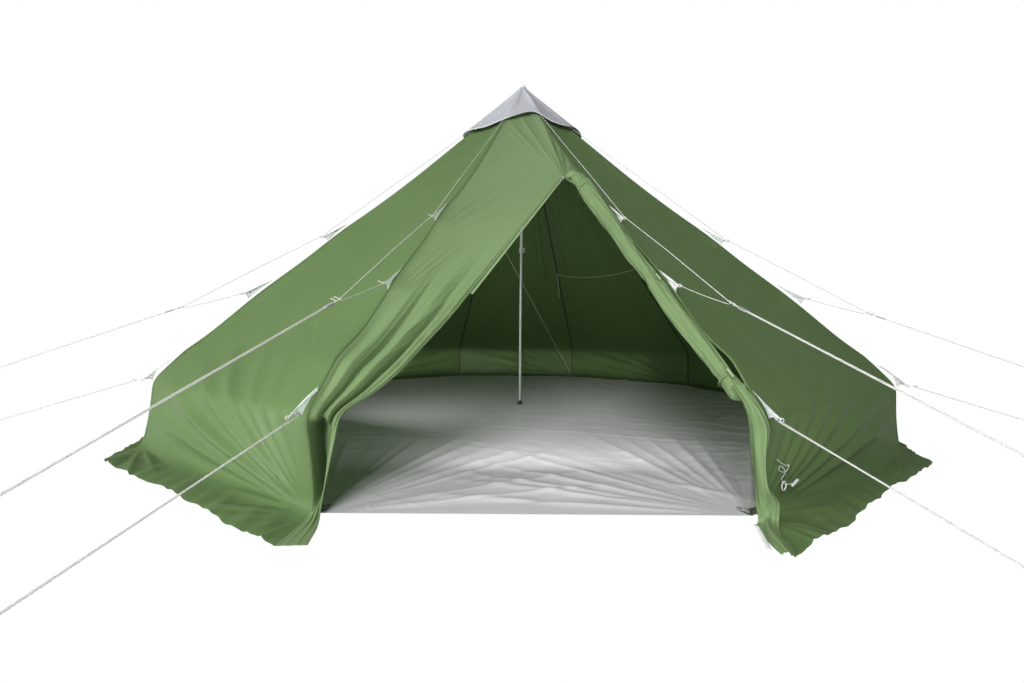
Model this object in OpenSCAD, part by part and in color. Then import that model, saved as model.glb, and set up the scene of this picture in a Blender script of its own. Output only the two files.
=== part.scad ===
/* [Canopy] */
// Radius of the wall corners on the ground
floor_r = 2800; // [2600:10:3000]
// Radius of the corners where the roof meets the wall
eave_r = 2820; // [2810:10:2900]
// Height of the low wall
eave_h = 405; // [350:5:500]
// Height where the planes of the roof would meet
roof_peak_z = 2960; // [2700:10:3200]
// Radius of the vent hole at the top of the roof, to the middle of a panel
vent_r = 180; // [150:5:200]
// Thickness of the solids that stand for cloth
cloth_t = 8; // [4:1:10]
// Width of the snow flap on the ground
flap_w = 240; // [150:10:300]
// Thickness of the snow flap
flap_t = 6; // [3:1:10]

/* [Groundsheet] */
// Thickness of the groundsheet
sheet_t = 4; // [2:1:6]
// Gap between the groundsheet and the wall
sheet_gap = 20; // [15:1:40]

/* [Pole] */
// Outer radius of the upper tube
upper_r = 14; // [13.5:0.5:18]
// Outer radius of the sliding lower tube
lower_r = 12.5; // [11:0.1:12.6]
// Wall thickness of both tubes
tube_wall = 1.2; // [0.8:0.1:1.4]
// Height of the lower end of the upper tube
upper_z = 1450; // [1300:10:1600]
// Height of the upper end of both tubes
pole_top_z = 2850; // [2845:1:2855]
// Length of the lower tube that stands inside the upper one
tube_lap = 400; // [300:10:450]

/* [Door] */
// Radius of the rolled half of the door at its upper end
roll_top_r = 46; // [35:1:48]
// Radius of the rolled half of the door at the eave
roll_low_r = 30; // [24:1:32]
// Width of the zip tape
tape_w = 14; // [10:1:16]
// Thickness of the zip tape
tape_t = 3; // [2:0.5:4]

/* [Guying] */
// Radius of the guy cords
cord_r = 1.5; // [1:0.25:1.75]
// Distance of the upper guy pegs from the pole
upper_peg_rho = 4500; // [4300:10:4700]
// Distance of the lower guy pegs from the pole
lower_peg_rho = 4050; // [3900:10:4200]
// Height of a peg above the ground
peg_h = 60; // [50:1:80]
// Radius of a peg
peg_r = 3.5; // [2.5:0.25:3.5]

/* [Hidden] */
$fn = 48;

sides = 10;
half_step = 180 / sides;
slack = 1;                     // clearance between neighbouring pieces
green = "#5f8a4c";
silver = "#b9bbbe";
white = "#f2f2ee";

// Azimuths are measured from the front (-Y) towards the right (+X).
function polar(az, rho, z) = [rho * sin(az), -rho * cos(az), z];
function seam_az(k) = -half_step - 2 * half_step * k;
function panel_az(k) = -2 * half_step * k;
guyed_az = [-18, 18, -54, 54, -126, 126, -162, 162];

// Distances from the pole's axis to the middle of a side.
floor_mid = floor_r * cos(half_step);
eave_mid = eave_r * cos(half_step);
roof_angle = atan2(roof_peak_z - eave_h, eave_mid);
roof_slant = (eave_mid - vent_r) / cos(roof_angle);
wall_angle = 90 + atan2(eave_mid - floor_mid, eave_h);
wall_slant = eave_h / sin(wall_angle);
seam_gap = 3.2;                // trims the mitred long edges of the panels
eave_gap = 5;                  // trims the edges that meet at the eave

// Height of the roof along a seam, and half the width of a roof panel.
function seam_z(rho) = roof_peak_z - (roof_peak_z - eave_h) * rho / eave_r;
function half_width(s) = (eave_mid - s * cos(roof_angle)) * tan(half_step);

// ---------------------------------------------------------------- helpers

// A flat sheet on one side of the tent. Its outline's X runs along the side,
// and its Y up a plane that starts at distance mid and height z.
module side_sheet(az, mid, z, angle, outline, t = cloth_t) {
    rotate([0, 0, az]) translate([0, -mid, z]) rotate([angle, 0, 0])
        translate([0, 0, -t]) linear_extrude(t) polygon(outline);
}

// Places its children in the plane of the door side, at x and slant s.
module on_door(x, s, lift = 0) {
    translate([0, -eave_mid, eave_h]) rotate([roof_angle, 0, 0])
        translate([x, s, lift]) children();
}

// A straight round bar or tapered bar between two points.
module bar(a, b, r1, r2) {
    d = b - a;
    translate(a) rotate([0, acos(d[2] / norm(d)), atan2(d[1], d[0])])
        cylinder(r1 = r1, r2 = r2, h = norm(d));
}

function unit(v) = v / norm(v);
function tangent(p, i) = unit(p[min(i + 1, len(p) - 1)] - p[max(i - 1, 0)]);
function ring(c, t, r, n) =
    let (side = unit(cross(t, [0, 0, 1])), up = cross(side, t))
    [for (k = [0:n - 1]) c + r * (cos(360 * k / n) * side + sin(360 * k / n) * up)];

// A cord: one tube swept along its route.
module cord(route, r = cord_r, n = 8) {
    last = len(route) - 1;
    points = [for (i = [0:last]) each ring(route[i], tangent(route, i), r, n)];
    walls = [for (i = [0:last - 1], k = [0:n - 1])
        [i * n + k, i * n + (k + 1) % n, (i + 1) * n + (k + 1) % n, (i + 1) * n + k]];
    start = [[for (k = [n - 1:-1:0]) k]];
    end = [[for (k = [0:n - 1]) last * n + k]];
    polyhedron(points, concat(start, walls, end), convexity = 4);
}

// Points from a to b that sag by drop in the middle.
function sagging(a, b, drop, n) =
    [for (i = [0:n]) let (u = i / n) a + (b - a) * u - [0, 0, 4 * drop * u * (1 - u)]];

// ----------------------------------------------------------------- canopy

module roof_panel(k) {
    low = half_width(eave_gap) - seam_gap;
    top = half_width(roof_slant) - seam_gap;
    color(green) side_sheet(panel_az(k), eave_mid, eave_h, roof_angle,
        [[-low, eave_gap], [low, eave_gap], [top, roof_slant], [-top, roof_slant]]);
}

module wall_panel(k) {
    low = floor_mid * tan(half_step) - seam_gap;
    top = eave_mid * tan(half_step) - seam_gap;
    color(green) side_sheet(panel_az(k), floor_mid, 0, wall_angle,
        [[-low, 0], [low, 0], [top, wall_slant - eave_gap], [-top, wall_slant - eave_gap]]);
}

module snow_flap(k) {
    near = floor_mid + slack;
    far = floor_mid + flap_w;
    half = tan(half_step);
    color(green) rotate([0, 0, panel_az(k)]) linear_extrude(flap_t)
        polygon([[-near * half + slack, -near], [near * half - slack, -near],
                 [far * half - slack, -far], [-far * half + slack, -far]]);
}

// Free edge of the gathered half of the door, from the eave up to the top of
// the zip, as x and slant on the door side.
zip_top = [246, 1990];
zip_low = [-304, 730];
gathered_edge = [[-740, 25], [-660, 90], [-560, 210], [-460, 400], [-385, 545]];

module door_panel() {
    low = half_width(eave_gap) - seam_gap;
    top = half_width(roof_slant) - seam_gap;
    color(green) {
        side_sheet(0, eave_mid, eave_h, roof_angle, concat([[-low, eave_gap]],
            gathered_edge, [zip_low, zip_top],
            [[half_width(zip_top[1]) - seam_gap, zip_top[1]],
             [top, roof_slant], [-top, roof_slant]]));
        side_sheet(0, floor_mid, 0, wall_angle,
            [[-832, 8], [-822, 8], [-745, 398], [-864, 398]]);
    }
}

// Axis of the rolled half, on the door side.
roll_top = [355, 1930];
roll_low = [818, 60];
roll_angle = atan2(roll_low[0] - roll_top[0], roll_top[1] - roll_low[1]);
roll_length = norm(roll_top - roll_low);

module door_roll() {
    color(green) {
        on_door(roll_top[0], roll_top[1]) rotate([0, 0, roll_angle]) rotate([90, 0, 0])
            cylinder(r1 = roll_top_r, r2 = roll_low_r, h = roll_length);
        bar([812, -2638, 372], [815, -2630, 8], 26, 22);
    }
}

module door_loops() {
    color(white) for (s = [1800, 806, 180]) {
        u = (roll_top[1] - s) / (roll_top[1] - roll_low[1]);
        r = roll_top_r + (roll_low_r - roll_top_r) * u + 5;
        on_door(roll_top[0] + (roll_low[0] - roll_top[0]) * u, s)
            rotate([0, 0, roll_angle]) rotate([90, 0, 0])
                rotate_extrude() translate([r, 0]) circle(r = 2.5, $fn = 16);
    }
}

// A toggle on the outer side of the roll. Its cord runs through its bore.
module door_toggle(s) {
    u = (roll_top[1] - s) / (roll_top[1] - roll_low[1]);
    r = roll_top_r + (roll_low_r - roll_top_r) * u;
    color("#20231f") on_door(roll_top[0] + (roll_low[0] - roll_top[0]) * u, s, r + 15)
        difference() {
            rotate([0, 0, roll_angle]) rotate([90, 0, 0])
                cylinder(r = 5.5, h = 46, center = true);
            cylinder(r = 1.6, h = 20, center = true);
        }
}

// -------------------------------------------------------------------- zip

zip_dir = unit(zip_low - zip_top);
zip_turn = atan2(zip_dir[1], zip_dir[0]);
mid_t = -cloth_t / 2;

// Places its children with X down the zip, Y to its right-hand side and Z
// out of the door.
module on_zip(down, across, lift = 0) {
    on_door(zip_top[0], zip_top[1], mid_t) rotate([0, 0, zip_turn])
        translate([down, across, lift]) children();
}

slider_l = 26;
slider_w = 16;
slider_t = 12;
slider_down = 10;              // distance of the parked slider from the zip's top
slider_across = 4;
hinge_lift = slider_t / 2 + 4;

module door_zip() {
    color(white) on_zip(0, slack, -tape_t / 2)
        cube([norm(zip_low - zip_top), tape_w, tape_t]);
}

module zip_slider() {
    ear = 2.5;
    color("#c9ccce") on_zip(slider_down, slider_across) {
        difference() {
            translate([0, 0, -slider_t / 2]) cube([slider_l, slider_w, slider_t]);
            translate([-1, -1, -tape_t / 2 - 0.8])
                cube([slider_l + 2, tape_w + slack - slider_across + 2, tape_t + 1.6]);
        }
        for (y = [0, slider_w - ear])
            translate([slider_l / 2 - 3, y, slider_t / 2 - 0.1]) cube([6, ear, 7]);
        translate([slider_l / 2, 0, hinge_lift]) rotate([-90, 0, 0])
            cylinder(r = 1.5, h = slider_w);
    }
}

module zip_pull() {
    width = 8;
    color("#c9ccce")
        on_zip(slider_down + slider_l / 2, slider_across + (slider_w - width) / 2, hinge_lift)
            difference() {
                union() {
                    rotate([-90, 0, 0]) cylinder(r = 3, h = width);
                    translate([0, 0, -1]) cube([40, width, 2]);
                    translate([40, width / 2, -1]) cylinder(r = width / 2 + 2, h = 2);
                }
                translate([0, -1, 0]) rotate([-90, 0, 0]) cylinder(r = 1.6, h = width + 2);
            }
}

// ------------------------------------------------------------- hat, crown

hat_t = 4;
hat_top_z = 3004;
hat_top_r = 24;
hat_corner = [600, 2450];      // radius and height of the hem's corners
hat_arch = [455, 2585];        // radius and height of the hem over the door
hat_steps = 60;

// 1 at the middle of the front and back arches, 0 at the hem's four corners.
function arch(az) =
    let (a = abs(((az + 180) % 360) - 180), b = min(a, 180 - a))
    b < 54 ? pow(cos(b * 90 / 54), 2) : 0.4 * pow(sin((b - 54) * 90 / 36), 2);
function hem(az) = hat_corner + (hat_arch - hat_corner) * arch(az);
function hat_point(az, u, drop) =
    let (h = hem(az), rho = hat_top_r + (h[0] - hat_top_r) * u)
    polar(az, rho, hat_top_z + (h[1] - hat_top_z) * pow(u, 0.94) - drop);

module vent_hat() {
    rows = [0, 0.35, 0.7, 1];
    n = hat_steps;
    m = len(rows);
    skin = [for (drop = [0, hat_t], u = rows, k = [0:n - 1])
        hat_point(360 * k / n, u, drop)];
    outer = [for (j = [0:m - 2], k = [0:n - 1])
        [j * n + k, j * n + (k + 1) % n, (j + 1) * n + (k + 1) % n, (j + 1) * n + k]];
    inner = [for (f = outer) [f[3] + m * n, f[2] + m * n, f[1] + m * n, f[0] + m * n]];
    edge = [for (k = [0:n - 1]) let (a = (m - 1) * n, b = a + m * n, q = (k + 1) % n)
        [a + k, a + q, b + q, b + k]];
    eye = [for (k = [0:n - 1]) let (b = m * n, q = (k + 1) % n) [q, k, b + k, b + q]];
    color(silver) {
        polyhedron(skin, [for (f = concat(outer, inner, edge, eye)) each
            [[f[0], f[1], f[2]], [f[0], f[2], f[3]]]], convexity = 6);
        translate([0, 0, hat_top_z - hat_t]) cylinder(r = hat_top_r + 4, h = 20);
    }
}

crown_r = 104;
crown_z = 2858;
strap_gap = 13;                // keeps the straps clear of the roof's upper edge

module roof_crown() {
    color(green) {
        difference() {
            translate([0, 0, crown_z]) cylinder(r = crown_r, h = 6);
            translate([0, 0, crown_z - 1]) cylinder(r = 11, h = 8);
        }
        for (k = [0:sides - 1]) {
            reach = vent_r / cos(half_step) - strap_gap;
            bar(polar(seam_az(k), crown_r - 6, crown_z + 3),
                polar(seam_az(k), reach, seam_z(reach) - strap_gap), 3, 3);
        }
    }
}

// ------------------------------------------------------------------- pole

module tube(r, low, high) {
    translate([0, 0, low]) difference() {
        cylinder(r = r, h = high - low);
        translate([0, 0, -1]) cylinder(r = r - tube_wall, h = high - low + 2);
    }
}

module pole_tip() {
    color("#3a3d40") {
        translate([0, 0, pole_top_z - 30]) cylinder(r = upper_r - tube_wall - 0.05, h = 30);
        translate([0, 0, pole_top_z]) cylinder(r = 45, h = 6);
        translate([0, 0, pole_top_z + 6]) cylinder(r = 10, h = hat_top_z - hat_t - pole_top_z - 8);
    }
}

module pole_upper() color("#c4c7ca") tube(upper_r, upper_z, pole_top_z);

foot_h = 36;
foot_z = sheet_t + 0.5;

module pole_lower() color("#c4c7ca") tube(lower_r, foot_z + foot_h, upper_z + tube_lap);

module pole_foot() {
    color("#26282a") translate([0, 0, foot_z]) cylinder(r1 = 24, r2 = lower_r + 3, h = foot_h);
}

clamp_h = 44;
clamp_r = 21;
pin_x = 29;                    // the lever's pin, beside the collar

module pole_clamp() {
    low = upper_z + 6;
    color("#26282a") {
        difference() {
            union() {
                translate([0, 0, low]) cylinder(r = clamp_r, h = clamp_h);
                for (z = [low, low + clamp_h - 8])
                    translate([0, -5, z]) cube([pin_x, 10, 8]);
                for (z = [low, low + clamp_h - 8])
                    translate([pin_x, 0, z]) cylinder(r = 5, h = 8);
            }
            translate([0, 0, low - 1]) cylinder(r = upper_r + 0.05, h = clamp_h + 2);
        }
        translate([pin_x, 0, low + 7]) cylinder(r = 2, h = clamp_h - 14);
    }
}

module clamp_lever() {
    low = upper_z + 6 + 9;
    h = clamp_h - 18;
    color("#b4342c") {
        translate([pin_x, 0, low]) difference() {
            cylinder(r = 5, h = h);
            translate([0, 0, -1]) cylinder(r = 2.1, h = h + 2);
        }
        translate([0, 0, low]) rotate([0, 0, 9]) rotate_extrude(angle = 130)
            translate([clamp_r + 2, 0]) square([4, h]);
    }
}

// ------------------------------------------------------------------ floor

module groundsheet() {
    r = (floor_mid - sheet_gap) / cos(half_step);
    color(silver) linear_extrude(sheet_t)
        polygon([for (k = [0:sides - 1]) [r * sin(seam_az(k)), -r * cos(seam_az(k))]]);
}

// A ladder-lock and its strap at each corner of the groundsheet.
module floor_clips() {
    color("#3a3d40") for (k = [0:sides - 1]) rotate([0, 0, seam_az(k)])
        translate([0, -floor_r + 62, sheet_t + slack]) {
            translate([-14, -10, 0]) cube([28, 20, 8]);
            translate([-12, -1.5, 8]) cube([24, 3, 20]);
        }
}

// ----------------------------------------------------------------- guying

// Everything here lies in the upright plane of a guyed seam, as distance
// from the pole, sideways offset and height, and is repeated at each seam.
patch_t = 3;
strand = 5;                    // half the distance between doubled cords
upper_tip = [1806, 1384];
middle_tip = [2310, 950];
corner_tip = [2862, 412];
join = [2640, 850];
peg_hold_z = 34;

module at_seams() for (az = guyed_az) rotate([0, 0, az - 90]) children();

// Local X is the distance from the pole, Y is sideways.
module patch(outline) {
    rotate([90, 0, 0]) translate([0, 0, -patch_t / 2]) linear_extrude(patch_t)
        polygon(outline);
}

module guy_patches_roof() {
    color(white) at_seams() {
        patch([[1640, seam_z(1640) + 4], [1775, seam_z(1775) + 4], upper_tip]);
        patch([[2150, seam_z(2150) + 4], [2275, seam_z(2275) + 4], middle_tip]);
    }
}

module guy_patches_corner() {
    color(white) at_seams()
        patch([[2715, seam_z(2715) + 4], [eave_r + 4, eave_h + 2],
               [eave_r + 3, 300], corner_tip]);
}

// A doubled cord from a hold to a peg, round the peg and back.
function doubled(from, peg_rho) =
    let (peg = [peg_rho, peg_hold_z])
    concat(
        [[from[0], strand, from[1]], [peg[0], strand, peg[1]]],
        [for (a = [60:-30:-60]) [peg[0] + strand * cos(a), strand * sin(a), peg[1]]],
        [[peg[0], -strand, peg[1]], [from[0], -strand, from[1]]]);

// The upper cord starts under the hat and passes the upper patch's ring.
run_in = 20;                   // the doubled stretch starts this far past the join
join_dir = unit([upper_peg_rho, peg_hold_z] - join);
double_from = join + run_in * join_dir;
upper_route = concat(
    [[430, 0, 2582], [900, 0, 2172], [1350, 0, 1788], [1808, 0, 1392], [2210, 0, 1136],
     [2638, 0, 852]],
    doubled(double_from, upper_peg_rho));
bridle_route = sagging([2314, 0, 950], [2630, 0, 845], 4, 6);
lower_route = concat([[2866, 0, 412]], doubled([2890, 400], lower_peg_rho));

module guylines_upper() color(white) at_seams() {
    cord(upper_route);
    cord(bridle_route);
}

module guylines_lower() color(white) at_seams() cord(lower_route);

runner_l = 46;
runner_w = 18;
runner_t = 7;

// A flat runner with two bores, riding on the doubled cord.
module line_runner(k) {
    fall = atan2(-join_dir[1], join_dir[0]);
    color("#3a3d40") rotate([0, 0, guyed_az[k - 1] - 90])
        translate([double_from[0], 0, double_from[1]]) rotate([0, fall, 0])
            translate([30, 0, 0]) difference() {
                translate([0, -runner_w / 2, -runner_t / 2]) cube([runner_l, runner_w, runner_t]);
                for (y = [-strand, strand]) translate([-1, y, 0]) rotate([0, 90, 0])
                    cylinder(r = cord_r + 0.8, h = runner_l + 2);
            }
}

module peg() {
    cylinder(r = peg_r - 0.2, h = peg_h);
    translate([0, 0, peg_h - 6]) rotate([0, -90, 0]) cylinder(r = peg_r - 0.5, h = 20);
}

module pegs() {
    color("#8d9196") at_seams() for (rho = [upper_peg_rho, lower_peg_rho])
        translate([rho, 0, 0]) rotate([0, 0, 180]) peg();
}

// --------------------------------------------------------------- inside

vent_cord_route = sagging([-607, -456, 2241], [840, 2586, 42], 12, 12);
drying_route = sagging([509, 1567, 1428], [1332, 970, 1428], 60, 14);

module vent_cord() color(white) cord(vent_cord_route);
module drying_line() color(white) cord(drying_route);

// ------------------------------------------------------------------ scene

for (k = [1:9]) {
    roof_panel(k);
    wall_panel(k);
    snow_flap(k);
}
for (k = [1:8]) line_runner(k);
door_panel();
door_roll();
door_zip();
zip_slider();
zip_pull();
door_loops();
door_toggle(806);  // door_toggle_upper
door_toggle(180);  // door_toggle_lower
vent_hat();
roof_crown();
pole_tip();
pole_upper();
pole_clamp();
clamp_lever();
pole_lower();
pole_foot();
groundsheet();
floor_clips();
guy_patches_roof();
guy_patches_corner();
guylines_upper();
guylines_lower();
pegs();
vent_cord();
drying_line();
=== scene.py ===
"""Looks of the ten-sided tent on one pole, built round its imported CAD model.

Metres, +Z up. Azimuths are in degrees from the front (-Y) towards the right (+X).
"""

import math

import bpy
import numpy as np
from mathutils import Matrix, Vector


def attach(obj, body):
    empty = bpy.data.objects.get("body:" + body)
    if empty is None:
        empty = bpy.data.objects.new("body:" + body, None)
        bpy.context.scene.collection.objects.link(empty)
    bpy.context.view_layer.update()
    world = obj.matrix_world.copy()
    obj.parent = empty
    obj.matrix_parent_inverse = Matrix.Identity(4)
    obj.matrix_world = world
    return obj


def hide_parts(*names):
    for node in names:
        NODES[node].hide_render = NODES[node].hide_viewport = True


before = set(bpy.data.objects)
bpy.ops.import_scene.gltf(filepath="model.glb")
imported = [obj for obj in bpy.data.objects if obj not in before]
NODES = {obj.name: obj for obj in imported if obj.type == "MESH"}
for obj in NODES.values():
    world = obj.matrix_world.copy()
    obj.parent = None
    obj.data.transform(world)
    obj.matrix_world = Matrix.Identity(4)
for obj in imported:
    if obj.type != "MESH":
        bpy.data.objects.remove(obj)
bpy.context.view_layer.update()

# ---- dimensions

SIDES = 10
HALF_STEP = math.pi / SIDES
FLOOR_R = 2.80  # wall corners on the ground
EAVE_H = 0.405
VENT_R = 0.19
PEAK_Z = 2.96  # where the roof's planes would meet
EAVE_R = {0: 2.85, 9: 2.84}  # the eave's corners, where not the usual
FLOOR_CORNER_R = {1: 2.845, 8: 2.815}
# the flaps' tips that are pulled aside: azimuth and radius
FLAP_TIPS = {0: (-16.85, 3.053), 1: (-49.5, 3.010), 8: (50.5, 2.955), 9: (15.4, 3.090)}
USUAL_EAVE_R = 2.79
ROOF_FOOT_R = 2.82  # where the roof's planes meet the eave's height, at a corner
EAVE_MID = ROOF_FOOT_R * math.cos(HALF_STEP)  # the door side's plane
ROOF_DROP = (PEAK_Z - EAVE_H) / ROOF_FOOT_R  # along a seam, per metre from the pole
FLOOR_MID = FLOOR_R * math.cos(HALF_STEP)
ROOF_ANGLE = math.atan2(PEAK_Z - EAVE_H, EAVE_MID)
FLAP_W = 0.2
GUYED = (-18, 18, -54, 54, -126, 126, -162, 162)
ROOF_ROWS, WALL_ROWS, FLAP_ROWS, COLUMNS = 190, 34, 20, 132
GROUND = 0.004  # cloth lies this far above the ground


def seam_azimuth(k):
    return -18.0 - 36.0 * k


def from_azimuth(azimuth, other):
    """An azimuth as seen from another one, between -180 and 180."""
    return (azimuth - other + 180) % 360 - 180


def polar(azimuth, rho, z):
    a = math.radians(azimuth)
    return np.array([rho * math.sin(a), -rho * math.cos(a), z])


# ---- helpers


def smooth(t):
    """0 before 0, 1 after 1 and an even curve between."""
    t = np.clip(t, 0.0, 1.0)
    return t * t * (3.0 - 2.0 * t)


def bell(t):
    return np.exp(-t * t)


def crest(t):
    """A fold's section: a narrow top with soft sides."""
    return (1.0 + t * t) ** -1.5


def smooth_line(points, count):
    """count points, evenly spaced, on a smooth line through points."""
    p = np.array(points, float)
    padded = np.vstack([2 * p[0] - p[1], p, 2 * p[-1] - p[-2]])
    t = np.linspace(0, 1, 24, endpoint=False)[:, None]
    parts = []
    for a, b, c, d in zip(padded, padded[1:], padded[2:], padded[3:]):
        parts.append(0.5 * (2 * b + (c - a) * t + (2 * a - 5 * b + 4 * c - d) * t**2
                            + (3 * b - a - 3 * c + d) * t**3))
    line = np.vstack(parts + [p[-1:]])
    return spaced(line, np.linspace(0, 1, count))


def spaced(line, shares):
    """Points at those shares of a line's length."""
    steps = np.linalg.norm(np.diff(line, axis=0), axis=1)
    run = np.concatenate([[0], np.cumsum(steps)]) / steps.sum()
    return np.stack([np.interp(shares, run, line[:, i]) for i in range(line.shape[1])], 1)


def unit(v):
    v = np.asarray(v, float)
    return v / np.maximum(np.linalg.norm(v, axis=-1, keepdims=True), 1e-12)


def grid_faces(rows, columns, closed=False):
    """Quads of a grid of points, row by row; closed joins its last column to its first."""
    last = columns if closed else columns - 1
    return [(i * columns + j, i * columns + (j + 1) % columns,
             (i + 1) * columns + (j + 1) % columns, (i + 1) * columns + j)
            for i in range(rows - 1) for j in range(last)]


def mesh_piece(name, points, faces, material, uv=None, rim=None):
    """A new mesh object. uv is each point's place on the cloth, rim its distances from
    the cloth's edges, both in metres; without rim it is far from any edge."""
    if uv is not None and rim is None:
        rim = np.ones_like(uv)
    mesh = bpy.data.meshes.new(name)
    mesh.from_pydata(np.asarray(points, float).reshape(-1, 3).tolist(), [], faces)
    for layer, values in (("cloth", uv), ("rim", rim)):
        if values is not None:
            corners = np.zeros(len(mesh.loops), np.int32)
            mesh.loops.foreach_get("vertex_index", corners)
            flat_values = np.asarray(values, float).reshape(-1, 2)[corners]
            mesh.uv_layers.new(name=layer).data.foreach_set("uv", flat_values.ravel())
    mesh.shade_smooth()
    mesh.materials.append(material)
    piece = bpy.data.objects.new(name, mesh)
    bpy.context.scene.collection.objects.link(piece)
    return piece


def settle(piece, node=None, body="tent"):
    """Let a piece ride on a body and hide the CAD node that it stands in for."""
    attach(piece, body)
    if node:
        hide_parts(node)
    return piece


def normals_of(grid):
    down = np.gradient(grid, axis=0)
    across = np.gradient(grid, axis=1)
    return unit(np.cross(across, down))


def ruled(left, right, u):
    """A grid whose rows run straight from the points of left to those of right."""
    return left[:, None] * (1 - u)[None, :, None] + right[:, None] * u[None, :, None]


def run_along(line):
    """The length of a line up to each of its points."""
    return np.concatenate([[0], np.cumsum(np.linalg.norm(np.diff(line, axis=0), axis=1))])


def turned(azimuth):
    """The rotation that brings an upright plane along +X to that azimuth."""
    return np.array(Matrix.Rotation(math.radians(azimuth - 90), 3, "Z"))


def circle(count):
    """count angles round a circle, without its end."""
    return np.arange(count) * 2 * math.pi / count


def tube(line, radii, sides=12, squash=None):
    """Rings of points round a line. radii is one radius, one per ring, or a function of
    ring share and angle."""
    line = np.asarray(line, float)
    ahead = unit(np.gradient(line, axis=0))
    side = np.cross(ahead[0], [0.0, 0.0, 1.0])
    if np.linalg.norm(side) < 0.1:
        side = np.cross(ahead[0], [1.0, 0.0, 0.0])
    side = unit(side)
    angles = circle(sides)
    rings = []
    for i, (point, way) in enumerate(zip(line, ahead)):
        side = unit(side - way * (side @ way))
        up = np.cross(side, way)
        share = i / (len(line) - 1)
        r = radii(share, angles) if callable(radii) else (
            np.full(sides, radii if np.isscalar(radii) else radii[i]))
        rings.append(point + np.outer(np.cos(angles) * r, side)
                     + np.outer(np.sin(angles) * r * (squash or 1.0), up))
    return np.array(rings)


def capped_tube_faces(rings, sides):
    faces = grid_faces(rings, sides, closed=True)
    return faces + [tuple(range(sides))[::-1],
                    tuple(range((rings - 1) * sides, rings * sides))]


def rod(line, radii, sides=12, squash=None):
    """(points, faces) of a capped tube round a line."""
    return tube(line, radii, sides, squash), capped_tube_faces(len(line), sides)


def hoop(line, radius, sides=8):
    """(points, faces) of an uncapped tube round a closed line."""
    return tube(line, radius, sides), grid_faces(len(line), sides, closed=True)


def lathe(profile, count):
    """Rings of points round the pole's axis; profile holds each ring's radius and height."""
    turn = circle(count)
    return np.array([np.stack([r * np.sin(turn), -r * np.cos(turn), z + 0 * turn], 1)
                     for r, z in profile])


def joined(parts):
    """(points, faces) of several (points, faces)."""
    points, faces, base = [], [], 0
    for p, f in parts:
        p = np.asarray(p, float).reshape(-1, 3)
        points.append(p)
        faces += [tuple(i + base for i in face) for face in f]
        base += len(p)
    return np.vstack(points), faces


# ---- materials


class Graph:
    """A material's node tree, with its shader and its output."""

    def __init__(self, name):
        self.material = bpy.data.materials.new(name)
        self.material.use_nodes = True
        self.nodes, self.links = self.material.node_tree.nodes, self.material.node_tree.links
        self.nodes.clear()
        self.shader = self.add("ShaderNodeBsdfPrincipled")
        self.out = self.add("ShaderNodeOutputMaterial")
        self.links.new(self.shader.outputs[0], self.out.inputs[0])

    def add(self, kind, vector=None, **values):
        """A node, with its properties and its unlinked inputs set by name."""
        made = self.nodes.new(kind)
        for key, value in values.items():
            if hasattr(made, key):
                setattr(made, key, value)
            else:
                made.inputs[key.replace("_", " ")].default_value = value
        if vector is not None:
            self.links.new(vector, made.inputs["Vector"])
        return made

    def put(self, socket, value):
        """Set a socket to a number or a colour, or link it."""
        if isinstance(value, (int, float)):
            socket.default_value = value
        elif isinstance(value, tuple):
            socket.default_value = (*value, 1.0)
        else:
            self.links.new(value, socket)

    def math(self, operation, *values, clamp=False):
        made = self.add("ShaderNodeMath", operation=operation, use_clamp=clamp)
        for socket, value in zip(made.inputs, values):
            self.put(socket, value)
        return made.outputs[0]

    def mix(self, share, a, b, blend="MIX"):
        made = self.add("ShaderNodeMix", data_type="RGBA", blend_type=blend)
        for i, value in ((0, share), (6, a), (7, b)):
            self.put(made.inputs[i], value)
        return made.outputs[2]

    def bump(self, height, strength, distance, normal=None):
        made = self.add("ShaderNodeBump", Strength=strength, Distance=distance)
        self.put(made.inputs["Height"], height)
        if normal is not None:
            self.put(made.inputs["Normal"], normal)
        return made.outputs[0]

    def shade(self, **values):
        """Set or link the shader's inputs."""
        for key, value in values.items():
            self.put(self.shader.inputs[key.replace("_", " ")], value)

    def show(self, share, other):
        """Mix another shader over the principled one."""
        both = self.add("ShaderNodeMixShader")
        for i, value in enumerate((share, self.shader.outputs[0], other.outputs[0])):
            self.put(both.inputs[i], value)
        self.put(self.out.inputs[0], both.outputs[0])


RIPSTOP_SHARP, THREADS_PER_M, STITCH_M = 14.0, 1400, 0.004


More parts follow.
